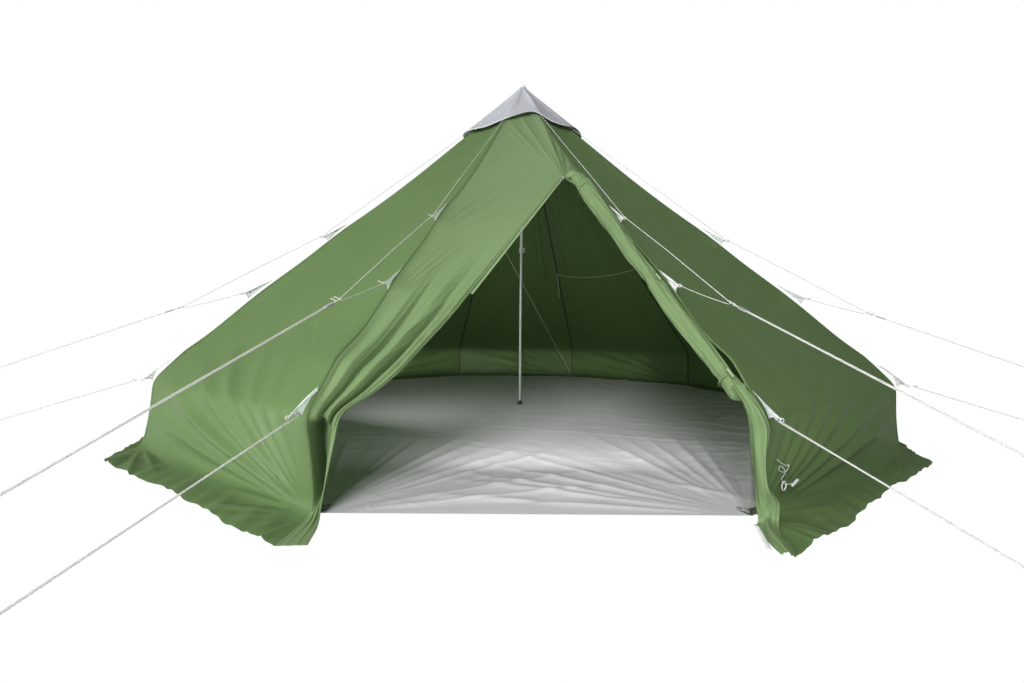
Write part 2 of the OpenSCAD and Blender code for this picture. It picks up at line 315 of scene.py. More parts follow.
def cloth_material(name, colour, dark, see_through, roughness, sheen, grid_mm=6.0, coat=0.0):
    """Ripstop cloth: a plain weave with a raised grid, soft creases and faint unevenness."""
    g = Graph(name)
    uv, rim = (g.add("ShaderNodeUVMap", uv_map=layer).outputs[0] for layer in ("cloth", "rim"))
    place = g.add("ShaderNodeSeparateXYZ", uv).outputs
    # the raised ripstop threads, as thin lines both ways
    lines = [g.math("POWER", g.math("MAXIMUM", g.math("COSINE", g.math(
        "MULTIPLY", place[axis], 2000 * math.pi / grid_mm)), 0.0), RIPSTOP_SHARP)
        for axis in (0, 1)]
    ripstop = g.math("MAXIMUM", *lines)
    # the weave itself, a fine criss-cross
    weave = g.math("MULTIPLY", *[g.math("SINE", g.math(
        "MULTIPLY", place[axis], 2 * math.pi * THREADS_PER_M)) for axis in (0, 1)])
    # unevenness of the dye and small creases, in the cloth's own metres
    patchy = g.add("ShaderNodeTexNoise", uv, Scale=1.7, Detail=4.0, Roughness=0.55)
    stretched = g.add("ShaderNodeMapping", uv, Scale=(1.0, 0.16, 1.0)).outputs[0]
    streak = g.add("ShaderNodeTexNoise", stretched, Scale=26.0, Detail=3.0, Roughness=0.6)
    crinkle = g.add("ShaderNodeTexNoise", uv, Scale=9.0, Detail=5.0, Roughness=0.6,
                    Distortion=0.7)
    tone = g.math("MULTIPLY_ADD", patchy.outputs["Fac"], 0.9, 0.05)
    tint = g.mix(tone, dark, colour)
    tint = g.mix(g.math("MULTIPLY", ripstop, 0.10), tint,
                 tuple(min(1.0, c * 1.5) for c in colour))
    # two rows of stitches beside each seam
    edge = g.add("ShaderNodeSeparateXYZ", rim).outputs[0]
    dash = g.math("GREATER_THAN", g.math("SINE", g.math(
        "MULTIPLY", place[1], 2 * math.pi / STITCH_M)), -0.35)
    rows = [g.math("LESS_THAN", g.math("ABSOLUTE", g.math("SUBTRACT", edge, distance)), 0.0006)
            for distance in (0.006, 0.013)]
    stitch = g.math("MULTIPLY", g.math("MAXIMUM", *rows), dash)
    tint = g.mix(g.math("MULTIPLY", stitch, 0.7), tint, tuple(c * 0.45 for c in dark))
    normal = None
    for height, strength, distance in (
            (crinkle.outputs["Fac"], 0.30, 0.006), (streak.outputs["Fac"], 0.22, 0.0016),
            (weave, 0.12, 0.0002), (ripstop, 0.25, 0.0003)):
        normal = g.bump(height, strength, distance, normal)
    rough = g.math("MULTIPLY_ADD", streak.outputs["Fac"], 0.16, roughness - 0.08)
    g.shade(Base_Color=tint, Roughness=rough, Sheen_Weight=sheen, Sheen_Roughness=0.45,
            Specular_IOR_Level=0.24, Coat_Weight=coat, Coat_Roughness=0.3, Normal=normal)
    if see_through:
        behind = g.add("ShaderNodeBsdfTranslucent")
        g.put(behind.inputs[0], g.mix(1.0, tint, (0.74, 1.0, 0.72), "MULTIPLY"))
        g.put(behind.inputs["Normal"], normal)
        g.show(see_through, behind)
    return g.material


def grained_material(name, colour, metallic, roughness, scale, depth, coat=0.0,
                     stretch=(1.0, 1.0, 1.0)):
    """Metal, plastic, rubber or webbing: object-space grain in colour, gloss and bump."""
    g = Graph(name)
    where = g.add("ShaderNodeTexCoord").outputs["Object"]
    placed = g.add("ShaderNodeMapping", where, Scale=stretch).outputs[0]
    grain = g.add("ShaderNodeTexNoise", placed, Scale=scale, Detail=4.0,
                  Roughness=0.6).outputs["Fac"]
    wear = g.add("ShaderNodeTexNoise", placed, Scale=scale * 0.07, Detail=3.0).outputs["Fac"]
    mixed = g.math("MULTIPLY", g.math("MULTIPLY", grain, wear), 1.9, clamp=True)
    g.shade(Base_Color=g.mix(mixed, tuple(c * 0.72 for c in colour), colour),
            Roughness=g.math("MULTIPLY_ADD", wear, 0.22, roughness - 0.11),
            Metallic=metallic, Coat_Weight=coat, Normal=g.bump(grain, 0.35, depth))
    return g.material


def cord_material(name, colour, fleck):
    """A braided cord: diagonal strands along its length, with a few coloured ones."""
    g = Graph(name)
    uv, where = (g.add("ShaderNodeTexCoord").outputs[kind] for kind in ("UV", "Object"))
    split = g.add("ShaderNodeSeparateXYZ", uv).outputs
    spin = g.math("MULTIPLY_ADD", split[1], 8 * math.pi, g.math("MULTIPLY", split[0], 2400.0))
    shade = g.add("ShaderNodeTexNoise", where, Scale=60.0, Detail=2.0)
    g.shade(Base_Color=g.mix(g.math("MULTIPLY", shade.outputs["Fac"], 0.5), colour, fleck),
            Roughness=0.62, Sheen_Weight=0.3, Normal=g.bump(g.math("SINE", spin), 0.5, 0.0004))
    return g.material


GREEN = (0.120, 0.196, 0.072)
GREEN_DARK = (0.098, 0.166, 0.056)
TENT = cloth_material("tent_cloth", GREEN, GREEN_DARK, 0.20, 0.50, 0.04)
DOOR = cloth_material("door_cloth", (0.176, 0.262, 0.116), (0.148, 0.230, 0.096), 0.18, 0.45,
                      0.08)
HAT = cloth_material("hat_cloth", (0.47, 0.48, 0.52), (0.42, 0.43, 0.47), 0.10, 0.60, 0.15)
SHEET = cloth_material("sheet_cloth", (0.60, 0.60, 0.61), (0.52, 0.52, 0.53), 0.0, 0.36,
                       0.05, grid_mm=8.0, coat=0.25)
HAT_TRIM = cloth_material("hat_trim", (0.66, 0.67, 0.70), (0.55, 0.56, 0.60), 0.0, 0.60, 0.1,
                          grid_mm=3.0)
PATCH = cloth_material("patch_cloth", (0.93, 0.93, 0.96), (0.88, 0.88, 0.92), 0.40, 0.55,
                       0.1, grid_mm=3.0)
CORD = cord_material("guy_cord", (0.60, 0.60, 0.57), (0.38, 0.39, 0.39))
# the cords inside: cream, and made much lighter than the guy cord to make up for the dim light
# inside, a painted light
INNER_CORD_LIT = cord_material("inner_cord_painted_light", (0.95, 0.95, 0.84), (0.80, 0.80, 0.66))
WEBBING = grained_material("white_webbing", (0.70, 0.70, 0.72), 0.0, 0.7, 900.0, 0.0003)
LOOP = grained_material("green_webbing", (0.150, 0.225, 0.100), 0.0, 0.75, 900.0, 0.0003)
STRAP = grained_material("grey_webbing", (0.26, 0.30, 0.24), 0.0, 0.75, 900.0, 0.0003)
# seam webbing inside, near black: real tape, but its darkness is painted shade along the back
# seams
SEAM_TAPE_SHADE = grained_material("seam_webbing_painted_shade", (0.030, 0.050, 0.026), 0.0, 0.85, 900.0, 0.0003)
WHITE = grained_material("white_plastic", (0.85, 0.85, 0.86), 0.0, 0.4, 400.0, 0.0001,
                         coat=0.2)
RUNNER = grained_material("runner_plastic", (0.33, 0.34, 0.35), 0.0, 0.45, 400.0, 0.0001,
                          coat=0.1)
TOGGLE = grained_material("toggle_plastic", (0.045, 0.050, 0.044), 0.0, 0.42, 400.0, 0.0001,
                          coat=0.2)
KNOT = grained_material("green_toggle", (0.26, 0.36, 0.19), 0.0, 0.5, 400.0, 0.0001)
METAL = grained_material("pole_metal", (0.70, 0.71, 0.72), 0.55, 0.58, 900.0, 0.00005,
                         stretch=(1.0, 1.0, 0.03))
PEG = grained_material("peg_metal", (0.50, 0.51, 0.52), 0.9, 0.4, 500.0, 0.0001)
ZIP_METAL = grained_material("zip_metal", (0.70, 0.71, 0.71), 0.85, 0.35, 600.0, 0.00005)
ZIP_TAPE = grained_material("zip_tape", (0.24, 0.34, 0.17), 0.0, 0.7, 900.0, 0.0002)
RUBBER = grained_material("foot_rubber", (0.03, 0.03, 0.032), 0.0, 0.75, 300.0, 0.0003)
BLACK = grained_material("black_plastic", (0.035, 0.037, 0.038), 0.0, 0.5, 350.0, 0.0001,
                         coat=0.1)

# ---- the camera


def make_camera():
    yaw, pitch, roll = (math.radians(a) for a in (-0.3838, -1.6845, 0.5271))
    ahead = Vector((-math.sin(yaw) * math.cos(pitch), math.cos(yaw) * math.cos(pitch),
                    math.sin(pitch)))
    level = Vector((math.cos(yaw), math.sin(yaw), 0.0))
    above = level.cross(ahead)
    right = level * math.cos(roll) + above * math.sin(roll)
    up = above * math.cos(roll) - level * math.sin(roll)
    data = bpy.data.cameras.new("camera")
    data.sensor_width, data.lens = 36.0, 16.318
    data.clip_start, data.clip_end = 0.05, 200.0
    camera = bpy.data.objects.new("camera", data)
    bpy.context.scene.collection.objects.link(camera)
    place = Matrix((right, up, -ahead)).transposed().to_4x4()
    place.translation = Vector((-0.1102, -4.4509, 0.7372))
    camera.matrix_world = place
    bpy.context.scene.camera = camera


make_camera()

# ---- cords

CORD_R = 0.0017
STRAND, CLOSE = 0.005, 0.0026  # half the distance between doubled cords
UPPER_PEG, LOWER_PEG, PEG_HOLD_Z = 4.5, 4.05, 0.034
JOIN = np.array([2.640, 0.850])
JOIN_DIR = unit(np.array([UPPER_PEG, PEG_HOLD_Z]) - JOIN)
DOUBLE_FROM = JOIN + 0.020 * JOIN_DIR


def doubled(start, peg, free):
    """From a hold to a peg, round the peg and back, in a guyed seam's upright plane. The
    two runs lie close together past free metres from the hold."""
    start, end = np.array(start), np.array([peg, PEG_HOLD_Z])
    length = np.linalg.norm(end - start)
    runs = [(0.0, STRAND), (free, STRAND), (free + 0.20, CLOSE), (length - 0.30, CLOSE),
            (length - 0.06, STRAND * 0.8), (length, STRAND)]
    out = [[*(start + (end - start) * at / length), half] for at, half in runs]
    out = [[x, half, z] for x, z, half in out]
    back = [[x, -half, z] for x, half, z in out[::-1]]
    turn = [[peg + STRAND * math.cos(math.radians(a)), STRAND * math.sin(math.radians(a)),
             PEG_HOLD_Z] for a in range(60, -61, -30)]
    return [*out, *turn, *back]


def sagging(a, b, drop, count):
    a, b = np.array(a, float), np.array(b, float)
    u = np.linspace(0, 1, count + 1)[:, None]
    return a + (b - a) * u - np.array([0, 0, 4 * drop]) * u * (1 - u)


UPPER_ROUTE = [[0.430, 0, 2.582], [0.900, 0, 2.172], [1.350, 0, 1.788], [1.808, 0, 1.392],
               [2.210, 0, 1.136], [2.638, 0, 0.852], *doubled(DOUBLE_FROM, UPPER_PEG, 0.75)]
BRIDLE_ROUTE = sagging([2.314, 0, 0.950], [2.630, 0, 0.845], 0.004, 6)
LOWER_ROUTE = [[2.866, 0, 0.412], *doubled([2.890, 0.400], LOWER_PEG, 0.02)]
VENT_ROUTE = sagging([-0.607, -0.456, 2.241], [0.840, 2.586, 0.042], 0.012, 12)
DRYING_ROUTE = sagging([0.509, 1.567, 1.428], [1.332, 0.970, 1.428], 0.060, 14)


def in_seam_plane(route, azimuth):
    """Points given as distance from the pole, sideways offset and height."""
    a = math.radians(azimuth - 90)
    c, s = math.cos(a), math.sin(a)
    return [(x * c - y * s, x * s + y * c, z) for x, y, z in np.asarray(route, float)]


def cord_piece(name, route, node, radius=CORD_R, material=CORD):
    curve = bpy.data.curves.new(name, "CURVE")
    curve.dimensions, curve.bevel_depth, curve.bevel_resolution = "3D", radius, 3
    curve.use_fill_caps = True
    spline = curve.splines.new("POLY")
    spline.points.add(len(route) - 1)
    for point, place in zip(spline.points, route):
        point.co = (*place, 1.0)
    curve.materials.append(material)
    piece = bpy.data.objects.new(name, curve)
    bpy.context.scene.collection.objects.link(piece)
    settle(piece, node)
    return piece


def make_cords():
    for i, azimuth in enumerate(GUYED, 1):
        cord_piece(f"guyline_upper_{i}", in_seam_plane(UPPER_ROUTE, azimuth), "guylines_upper")
        cord_piece(f"guyline_bridle_{i}", in_seam_plane(BRIDLE_ROUTE, azimuth),
                   "guylines_upper")
        cord_piece(f"guyline_lower_{i}", in_seam_plane(LOWER_ROUTE, azimuth), "guylines_lower")
    cord_piece("vent_cord_line", VENT_ROUTE, "vent_cord", material=INNER_CORD_LIT)
    cord_piece("drying_line_cord", DRYING_ROUTE, "drying_line",
               material=INNER_CORD_LIT)
    # the line's spare end hangs down from its knot
    spare = sagging(DRYING_ROUTE[0], DRYING_ROUTE[0] + [0.030, 0.02, -0.30], 0.0, 8)
    cord_piece("drying_line_tail", spare, None, material=INNER_CORD_LIT)


make_cords()

# ---- the tent's surface

# Where guys lift a seam, as distance from the pole, half width and lift.
PULLS = ((1.10, 0.40, -0.020), (1.70, 0.20, 0.018), (2.22, 0.30, 0.032), (2.68, 0.14, 0.030))


def eave_radius(k):
    return EAVE_R.get(k % SIDES, USUAL_EAVE_R)


def is_guyed(k):
    return any(abs(from_azimuth(seam_azimuth(k), a)) < 1 for a in GUYED)


def seam_curve(k):
    """Points along seam k from the vent over the eave to the flap's tip."""
    top_z = PEAK_Z - ROOF_DROP * VENT_R
    shares = np.linspace(0, 1, ROOF_ROWS + 1) ** 0.86
    turned = eave_radius(k) - USUAL_EAVE_R
    front = k in (0, 9)
    rho = VENT_R + (USUAL_EAVE_R - VENT_R) * shares
    z = top_z + (EAVE_H - top_z) * shares
    rho = rho + turned * smooth((shares - 0.80) / 0.20)
    if is_guyed(k):
        for at, width, lift in PULLS:
            z = z + (1.6 if front else 0.8) * lift * bell((rho - at) / width) * np.minimum(
                1, (1 - shares) * 16)
    roof = np.stack([rho, z], 1)
    down = np.linspace(0, 1, WALL_ROWS + 1)[1:]
    foot = FLOOR_CORNER_R.get(k, FLOOR_R)
    wall = np.stack([eave_radius(k) + (foot - eave_radius(k)) * down
                     - 0.008 * np.sin(math.pi * down), EAVE_H + (0.012 - EAVE_H) * down], 1)
    out = np.linspace(0, 1, FLAP_ROWS + 1)[1:]
    tip_azimuth, tip = FLAP_TIPS.get(k, (seam_azimuth(k), FLOOR_R + (FLAP_W + 0.012)
                                         / math.cos(HALF_STEP)))
    aside = from_azimuth(tip_azimuth, seam_azimuth(k))
    flap = np.stack([foot + (tip - foot) * out,
                     np.maximum(GROUND, 0.012 * (1 - out * 3))], 1)
    profile = np.vstack([roof, wall, flap])
    lean = np.concatenate([np.zeros(len(roof) + len(wall)), aside * out])
    return np.array([polar(seam_azimuth(k) + a, r, z) for a, (r, z) in zip(lean, profile)])


EAVE_ROW, FLOOR_ROW = ROOF_ROWS, ROOF_ROWS + WALL_ROWS


def ease(grid):
    """Round a grid of the tent's rows over the eave and where the flap leaves the wall."""
    for row, reach, passes in ((EAVE_ROW, 7, 14), (FLOOR_ROW, 9, 26)):
        for _ in range(passes):
            part = grid[row - reach - 1:row + reach + 2]
            part[1:-1] = 0.5 * part[1:-1] + 0.25 * (part[:-2] + part[2:])


TOTAL_ROWS = ROOF_ROWS + WALL_ROWS + FLAP_ROWS + 1
SEAMS = [seam_curve(k) for k in range(SIDES)]


def fan(x, y, at, ridges, grow, fade):
    """Folds that fan out from a point. Each ridge is (angle, half width, height per metre
    of distance) with angles in degrees; they grow over grow = (from, to) metres and fade
    over fade = (from, to)."""
    dx, dy = x - at[0], y - at[1]
    r = np.hypot(dx, dy)
    angle = np.degrees(np.arctan2(dy, dx))
    envelope = smooth((r - grow[0]) / (grow[1] - grow[0]))
    envelope = envelope * (1 - smooth((r - fade[0]) / (fade[1] - fade[0])))
    total = np.zeros_like(x)
    for a, width, height in ridges:
        total += height * crest(from_azimuth(angle, a) / width)
    return total * envelope * np.minimum(r, 0.9)


def even_fan(random, start, end, count, height, sharpness=0.30):
    """Ridges spread between two angles, unevenly, some of them turned inwards."""
    step = (end - start) / count
    places = start + step * (np.arange(count) + 0.5 + random.uniform(-0.3, 0.3, count))
    return [(a, abs(step) * random.uniform(0.7, 1.3) * sharpness,
             height * random.uniform(0.45, 1.0) * (1 if random.random() < 0.72 else -0.7))
            for a in places]


def panel_folds(k, x, y, top_y):
    """Height of the folds of panel k above its smooth surface, at places on the cloth.
    x runs across from the middle, y up from the ground; both in metres."""
    random = np.random.default_rng(500 + k)
    side = 1 if k <= 4 else -1  # the side of the corner that the wall is pulled to
    x = x * side
    corner = FLOOR_R * math.sin(HALF_STEP)
    eave = 0.871  # half the width at the eave
    roof_fade = 1 - smooth((y - EAVE_H - 0.02) / 0.50)
    lasting = 0.28 if side > 0 else 0.05  # how much of the wall's folds goes over the eave
    inner = 3 <= k <= 7  # seen from inside, through the door
    strong = [(180 - a, w, h) for a, w, h in (
        (8.0, 2.0, 0.018), (15.0, 2.3, 0.034), (23.0, 2.7, 0.046), (32.0, 3.2, 0.052),
        (42.0, 3.7, 0.050), (54.0, 4.5, 0.040), (68.0, 5.2, 0.024))]
    strong = [(a + random.uniform(-0.8, 0.8), w * random.uniform(0.85, 1.15),
               h * random.uniform(0.75, 1.2)) for a, w, h in strong]
    folds = 1.9 * fan(x, y, (corner, -0.02), strong, (0.02, 0.20), (1.0, 2.0)) * (
        lasting + (1 - lasting) * (1 - smooth((y - 0.14) / 0.30))) * roof_fade
    folds -= 0.006 * smooth((y - 0.02) / 0.2) * roof_fade * bell((x - 0.1) / 0.7)
    folds += fan(x, y, (-corner, 0.0), even_fan(random, 6, 62, 6, 0.022), (0.01, 0.12),
                 (0.18, 0.55)) * smooth(y / 0.03)
    folds += fan(x, y, (-eave, EAVE_H), even_fan(random, -30, -6, 4, 0.014), (0.02, 0.25),
                 (0.35, 0.9))
    for way in (1, -1):
        start, end = (92, 158) if way > 0 else (88, 22)
        folds += fan(x, y, (way * eave, EAVE_H), even_fan(random, start, end, 11, 0.0045),
                     (0.05, 0.4), (0.5, 1.45)) * smooth((y - EAVE_H) / 0.1) * (
                         3.0 if inner else 1.0)
    # fine pleats that run down from the crown
    pleats = even_fan(random, -103.5, -76.5, 34, 0.0030, 0.34)
    folds += fan(x, y, (0.0, top_y + 0.32), pleats, (0.2, 0.7),
                 (2.1, 3.5) if inner else (1.3, 2.9)) * (4.5 if inner else 1.15)
    # the flap: short folds at both ends and ripples along its outer edge
    for way in (1, -1):
        start, end = (182, 255) if way > 0 else (-2, -75)
        folds += fan(x, y, (way * corner, 0.0), even_fan(random, start, end, 6, 0.050),
                     (0.01, 0.12), (0.2, 0.7)) * smooth(-y / 0.02)
    waves = sum(np.sin(x * f + p) for f, p in zip((19, 33, 51), random.uniform(0, 6.3, 3)))
    folds += 0.004 * smooth(-y / FLAP_W) * (1 + waves / 2)
    return folds


def panel_grid(k):
    """Points, cloth places and distances from the seams of panel k, vent to flap edge."""
    a, b = SEAMS[k % SIDES], SEAMS[(k - 1) % SIDES]
    u = np.linspace(0, 1, COLUMNS + 1)
    grid = ruled(a, b, u)
    width = np.linalg.norm(b - a, axis=1)
    middle = (a + b) / 2
    run = run_along(middle)
    y = run[FLOOR_ROW] - run
    x = width[:, None] * (u - 0.5)[None]
    y = np.repeat(y[:, None], COLUMNS + 1, 1)
    # the lift of the seams dies away towards the panel's middle
    outward = polar(-36.0 * k, 1.0, 0.0)
    lean = outward * math.sin(ROOF_ANGLE) + np.array([0, 0, math.cos(ROOF_ANGLE)])
    share = np.arange(TOTAL_ROWS) / EAVE_ROW
    arc = (4 * u * (1 - u))[None]
    straight = PEAK_Z - ROOF_DROP * np.linalg.norm(middle[:, :2], axis=1) \
        / math.cos(HALF_STEP)
    lifted = np.where(share <= 1, middle[:, 2] - straight, 0.0) * math.cos(ROOF_ANGLE)
    grid -= (lifted[:, None] * arc ** 0.5)[..., None] * lean
    sag = np.where(share <= 1, 0.012 + 0.030 * np.sin(math.pi * np.clip(share, 0, 1)),
                   0.012 * np.clip(1 - (share - 1) * EAVE_ROW / WALL_ROWS, 0, 1))
    direction = np.where((share <= 1)[:, None], lean, outward)
    grid -= (sag[:, None] * arc)[..., None] * direction[:, None]
    ease(grid)
    # the flap's outer edge is cut and worn unevenly
    random = np.random.default_rng(900 + k)
    uneven = sum(w * np.sin(x[-1] * f + p) for w, f, p in zip(
        (0.012, 0.006, 0.0025, 0.0015), (5.2, 14.0, 31.0, 67.0), random.uniform(0, 6.3, 4)))
    uneven = uneven * np.minimum(1, 12 * np.minimum(u, 1 - u))
    reach = np.clip((np.arange(TOTAL_ROWS) - FLOOR_ROW) / FLAP_ROWS, 0, 1)
    grid += (reach[:, None] * uneven[None])[..., None] * outward
    normals = normals_of(grid)
    if (normals[EAVE_ROW // 2].mean(0) @ outward) < 0:
        normals = -normals
    edge = smooth(np.minimum(u, 1 - u)[None] * width[:, None] / 0.03)
    folds = panel_folds(k, x, y, run[FLOOR_ROW]) * edge
    grid += folds[..., None] * normals
    grid[..., 2] = np.maximum(grid[..., 2], GROUND)
    rim = np.stack([np.minimum(u, 1 - u)[None] * width[:, None], np.abs(y - EAVE_H)], -1)
    return grid, np.stack([x, y], -1), rim


def sheet_piece(name, grid, uv, rim, material, node):
    piece = mesh_piece(name, grid, grid_faces(*grid.shape[:2]), material, uv, rim)
    settle(piece, node)


def make_panels():
    grids = {}
    for k in range(1, SIDES):
        grid, uv, rim = panel_grid(k)
        grids[k] = grid
        parts = (("roof", slice(0, EAVE_ROW + 1), (1.74, 3.47), 3.22, "stretched"),
                 ("wall", slice(EAVE_ROW, FLOOR_ROW + 1), (1.74, 0.41), None, "stretched"),
                 ("flap", slice(FLOOR_ROW, TOTAL_ROWS), (1.86, 0.18), None, "laid"))
        nodes = {"roof": f"roof_panel_{k}", "wall": f"wall_panel_{k}", "flap": f"snow_flap_{k}"}
        for part, rows, flat, area, held in parts:
            sheet_piece(f"{part}_cloth_{k}", grid[rows], uv[rows], rim[rows], TENT,
                        nodes[part])
    return grids


GRIDS = make_panels()

# ---- the door


def on_door(x, s, lift=0.0):
    """Points of the door side: x from its middle, s up its slope from the eave and lift
    out of it."""
    c, n = math.cos(ROOF_ANGLE), math.sin(ROOF_ANGLE)
    x, s, lift = np.broadcast_arrays(np.asarray(x, float), s, lift)
    return np.stack([x, -EAVE_MID + s * c - lift * n, EAVE_H + s * n + lift * c], -1)


def slope_of(points):
    """How far up the door side's slope points are."""
    return ((points[..., 1] + EAVE_MID) * math.cos(ROOF_ANGLE)
            + (points[..., 2] - EAVE_H) * math.sin(ROOF_ANGLE))


ZIP_TOP = (0.246, 1.990)
FREE_EDGE = [ZIP_TOP, (0.080, 1.609), (-0.067, 1.274), (-0.304, 0.728), (-0.385, 0.545),
             (-0.460, 0.400), (-0.560, 0.210), (-0.660, 0.080), (-0.752, 0.008)]
# the drape's folds: share of the width from the seam, half width and height at the eave,
# and where on the way down from the zip's top each one starts
DRAPE = ((0.965, 0.030, 0.018, -0.3), (0.87, 0.060, 0.020, 0.15), (0.755, 0.042, -0.046, 0.30),
         (0.63, 0.075, 0.030, 0.28), (0.43, 0.050, -0.042, 0.40), (0.29, 0.080, 0.020, 0.45),
         (0.13, 0.050, -0.010, 0.60))


def cloth_places(u, width, up):
    """Places on the cloth, and distances from its two long edges, of a grid's points."""
    uv = np.stack([(u[None] - 0.5) * width[:, None], np.repeat(up[:, None], len(u), 1)], -1)
    side = np.minimum(u, 1 - u)[None] * width[:, None]
    return uv, np.stack([side, 0 * side + 1.0], -1)


def normals_forward(grid, row):
    """A grid's normals, all on the side that faces forward at that row."""
    normals = normals_of(grid)
    return -normals if normals[row].mean(0)[1] > 0 else normals


def door_left():
    """The gathered half of the door with the closed part above the zip: from the vent down
    to the eave, down the wall's corner and out over the ground."""
    columns = 150
    left = SEAMS[0]
    up = slope_of(left[:EAVE_ROW + 1])
    zip_row = int(np.argmin(np.abs(up - ZIP_TOP[1])))
    top = smooth_line([(0.02, up[0]), (0.10, 2.9), ZIP_TOP], 200)
    top = np.stack([np.interp(up[:zip_row + 1], top[::-1, 1], top[::-1, 0]),
                    up[:zip_row + 1]], 1)
    edge = smooth_line(FREE_EDGE, 400)
    share = (np.arange(zip_row, EAVE_ROW + 1) - zip_row) / (EAVE_ROW - zip_row)
    edge = spaced(edge, share ** 0.92)[1:]
    right = on_door(*np.vstack([top, edge]).T)
    below = smooth_line([right[-1], (-0.778, -2.668, 0.30), (-0.812, -2.668, 0.14),
                         (-0.836, -2.666, 0.012)], WALL_ROWS + 1)[1:]
    ground = smooth_line([(-0.836, -2.666, 0.012), (-0.806, -2.75, GROUND),
                          (-0.777, -2.915, GROUND)], FLAP_ROWS + 1)[1:]
    right = np.vstack([right, below, ground])
    u = np.linspace(0, 1, columns + 1)
    grid = ruled(left, right, u)
    ease(grid)
    width = np.linalg.norm(right - left, axis=1)
    run = run_along((left + right) / 2)
    normals = normals_forward(grid, EAVE_ROW // 2)
    rows = np.arange(len(left))
    down = np.clip((rows - zip_row) / (EAVE_ROW - zip_row), -0.4, 1)[:, None]
    wall = np.clip((rows - EAVE_ROW) / WALL_ROWS, 0, 1)[:, None]
    flap = np.clip((rows - FLOOR_ROW) / FLAP_ROWS, 0, 1)[:, None]
    x, s = grid[..., 0], slope_of(grid)
    random = np.random.default_rng(77)
    folds = np.zeros_like(x)
    for at, half, height, start in DRAPE:
        grown = smooth((down - start) / (1.0 - start)) ** 1.2
        drift = 0.03 * np.sin(3.1 * down + 9 * at) * (1 - down)
        folds += height * grown * crest((u[None] - at - drift) / half)
    # the folds are narrower where the cloth is gathered, and hang free down the corner
    folds *= 1 - 0.45 * smooth((down - 0.75) / 0.25)
    folds *= 1 - 0.70 * smooth(wall * 3)
    folds += -0.120 * smooth(wall * 5) * (1 - smooth((wall - 0.72) / 0.28)) * bell(
        (u[None] - 0.44) / 0.27)
    folds *= 1 - 0.8 * flap
    # fine creases across the cloth from the seam's patches, and pleats from the hat
    for at_s, start, end, height in ((2.02, 22, 62, 0.012), (1.20, 28, 66, 0.013),
                                     (0.50, 32, 70, 0.010)):
        at_x = float(np.interp(at_s, up[::-1], left[:EAVE_ROW + 1, 0][::-1]))
        folds += fan(x, s, (at_x, at_s), even_fan(random, start, end, 10, height, 0.26),
                     (0.04, 0.25), (0.35, 0.95)) * (1 - wall)
    folds += fan(x, s, ZIP_TOP, even_fan(random, 90, 116, 6, 0.010, 0.30), (0.02, 0.3),
                 (0.75, 1.35)) * (s > 1.0)
    folds += fan(x, s, (-0.80, 0.02), even_fan(random, 40, 74, 16, 0.010, 0.26), (0.05, 0.3),
                 (0.4, 1.1)) * (1 - wall)
    belly = -0.030 * np.sin(math.pi * np.clip((down + 0.4) / 1.4, 0, 1)) * 4 * u * (1 - u)
    edge_fade = smooth(u[None] * width[:, None] / 0.03)
    folds = (folds + belly * (1 - wall)) * edge_fade
    folds *= smooth(rows / 6.0)[:, None]
    grid = grid + folds[..., None] * normals
    grid[..., 2] = np.maximum(grid[..., 2], GROUND)
    uv, rim = cloth_places(u, width, run[FLOOR_ROW] - run)
    sheet_piece("door_cloth_left", grid, uv, rim, DOOR, "door_panel")
    return grid, zip_row


def door_top_right(left_grid, zip_row):
    """The closed part of the door between the zip's line and the right-hand seam, which
    runs down into the rolled half."""
    columns, extra = 44, 16
    right = SEAMS[9][:zip_row + extra + 1]
    line = left_grid[:zip_row + 1, -1]
    into_roll = smooth_line([line[-1], on_door(0.300, 1.90), on_door(0.400, 1.80)],
                            extra + 1)[1:]
    left = np.vstack([line, into_roll])
    u = np.linspace(0, 1, columns + 1)
    grid = ruled(left, right, u)
    normals = normals_forward(grid, zip_row // 2)
    x, s = grid[..., 0], slope_of(grid)
    random = np.random.default_rng(31)
    width = np.linalg.norm(right - left, axis=1)
    pleats = fan(x, s, (ZIP_TOP[0] + 0.03, ZIP_TOP[1] - 0.05),
                 even_fan(random, 60, 126, 11, 0.030, 0.34), (0.03, 0.3), (0.8, 1.5))
    edges = smooth(np.minimum(u, 1 - u)[None] * width[:, None] / 0.02)
    rows = np.arange(len(left))
    grid = grid + (pleats * edges * smooth(rows / 6.0)[:, None])[..., None] * normals
    grid[:len(line), 0] = line
    uv, rim = cloth_places(u, width, -run_along(right))
    sheet_piece("door_cloth_top", grid, uv, rim, DOOR, "door_panel")


ROLL_TOP, ROLL_LOW = (0.355, 1.930), (0.818, 0.060)
ROLL_TOP_R, ROLL_LOW_R = 0.046, 0.030
TIES = (1.800, 0.806, 0.180)  # how far up the slope the loops round the roll are


def roll_share(s):
    return (ROLL_TOP[1] - s) / (ROLL_TOP[1] - ROLL_LOW[1])


def roll_radius(share):
    return ROLL_TOP_R + (ROLL_LOW_R - ROLL_TOP_R) * share


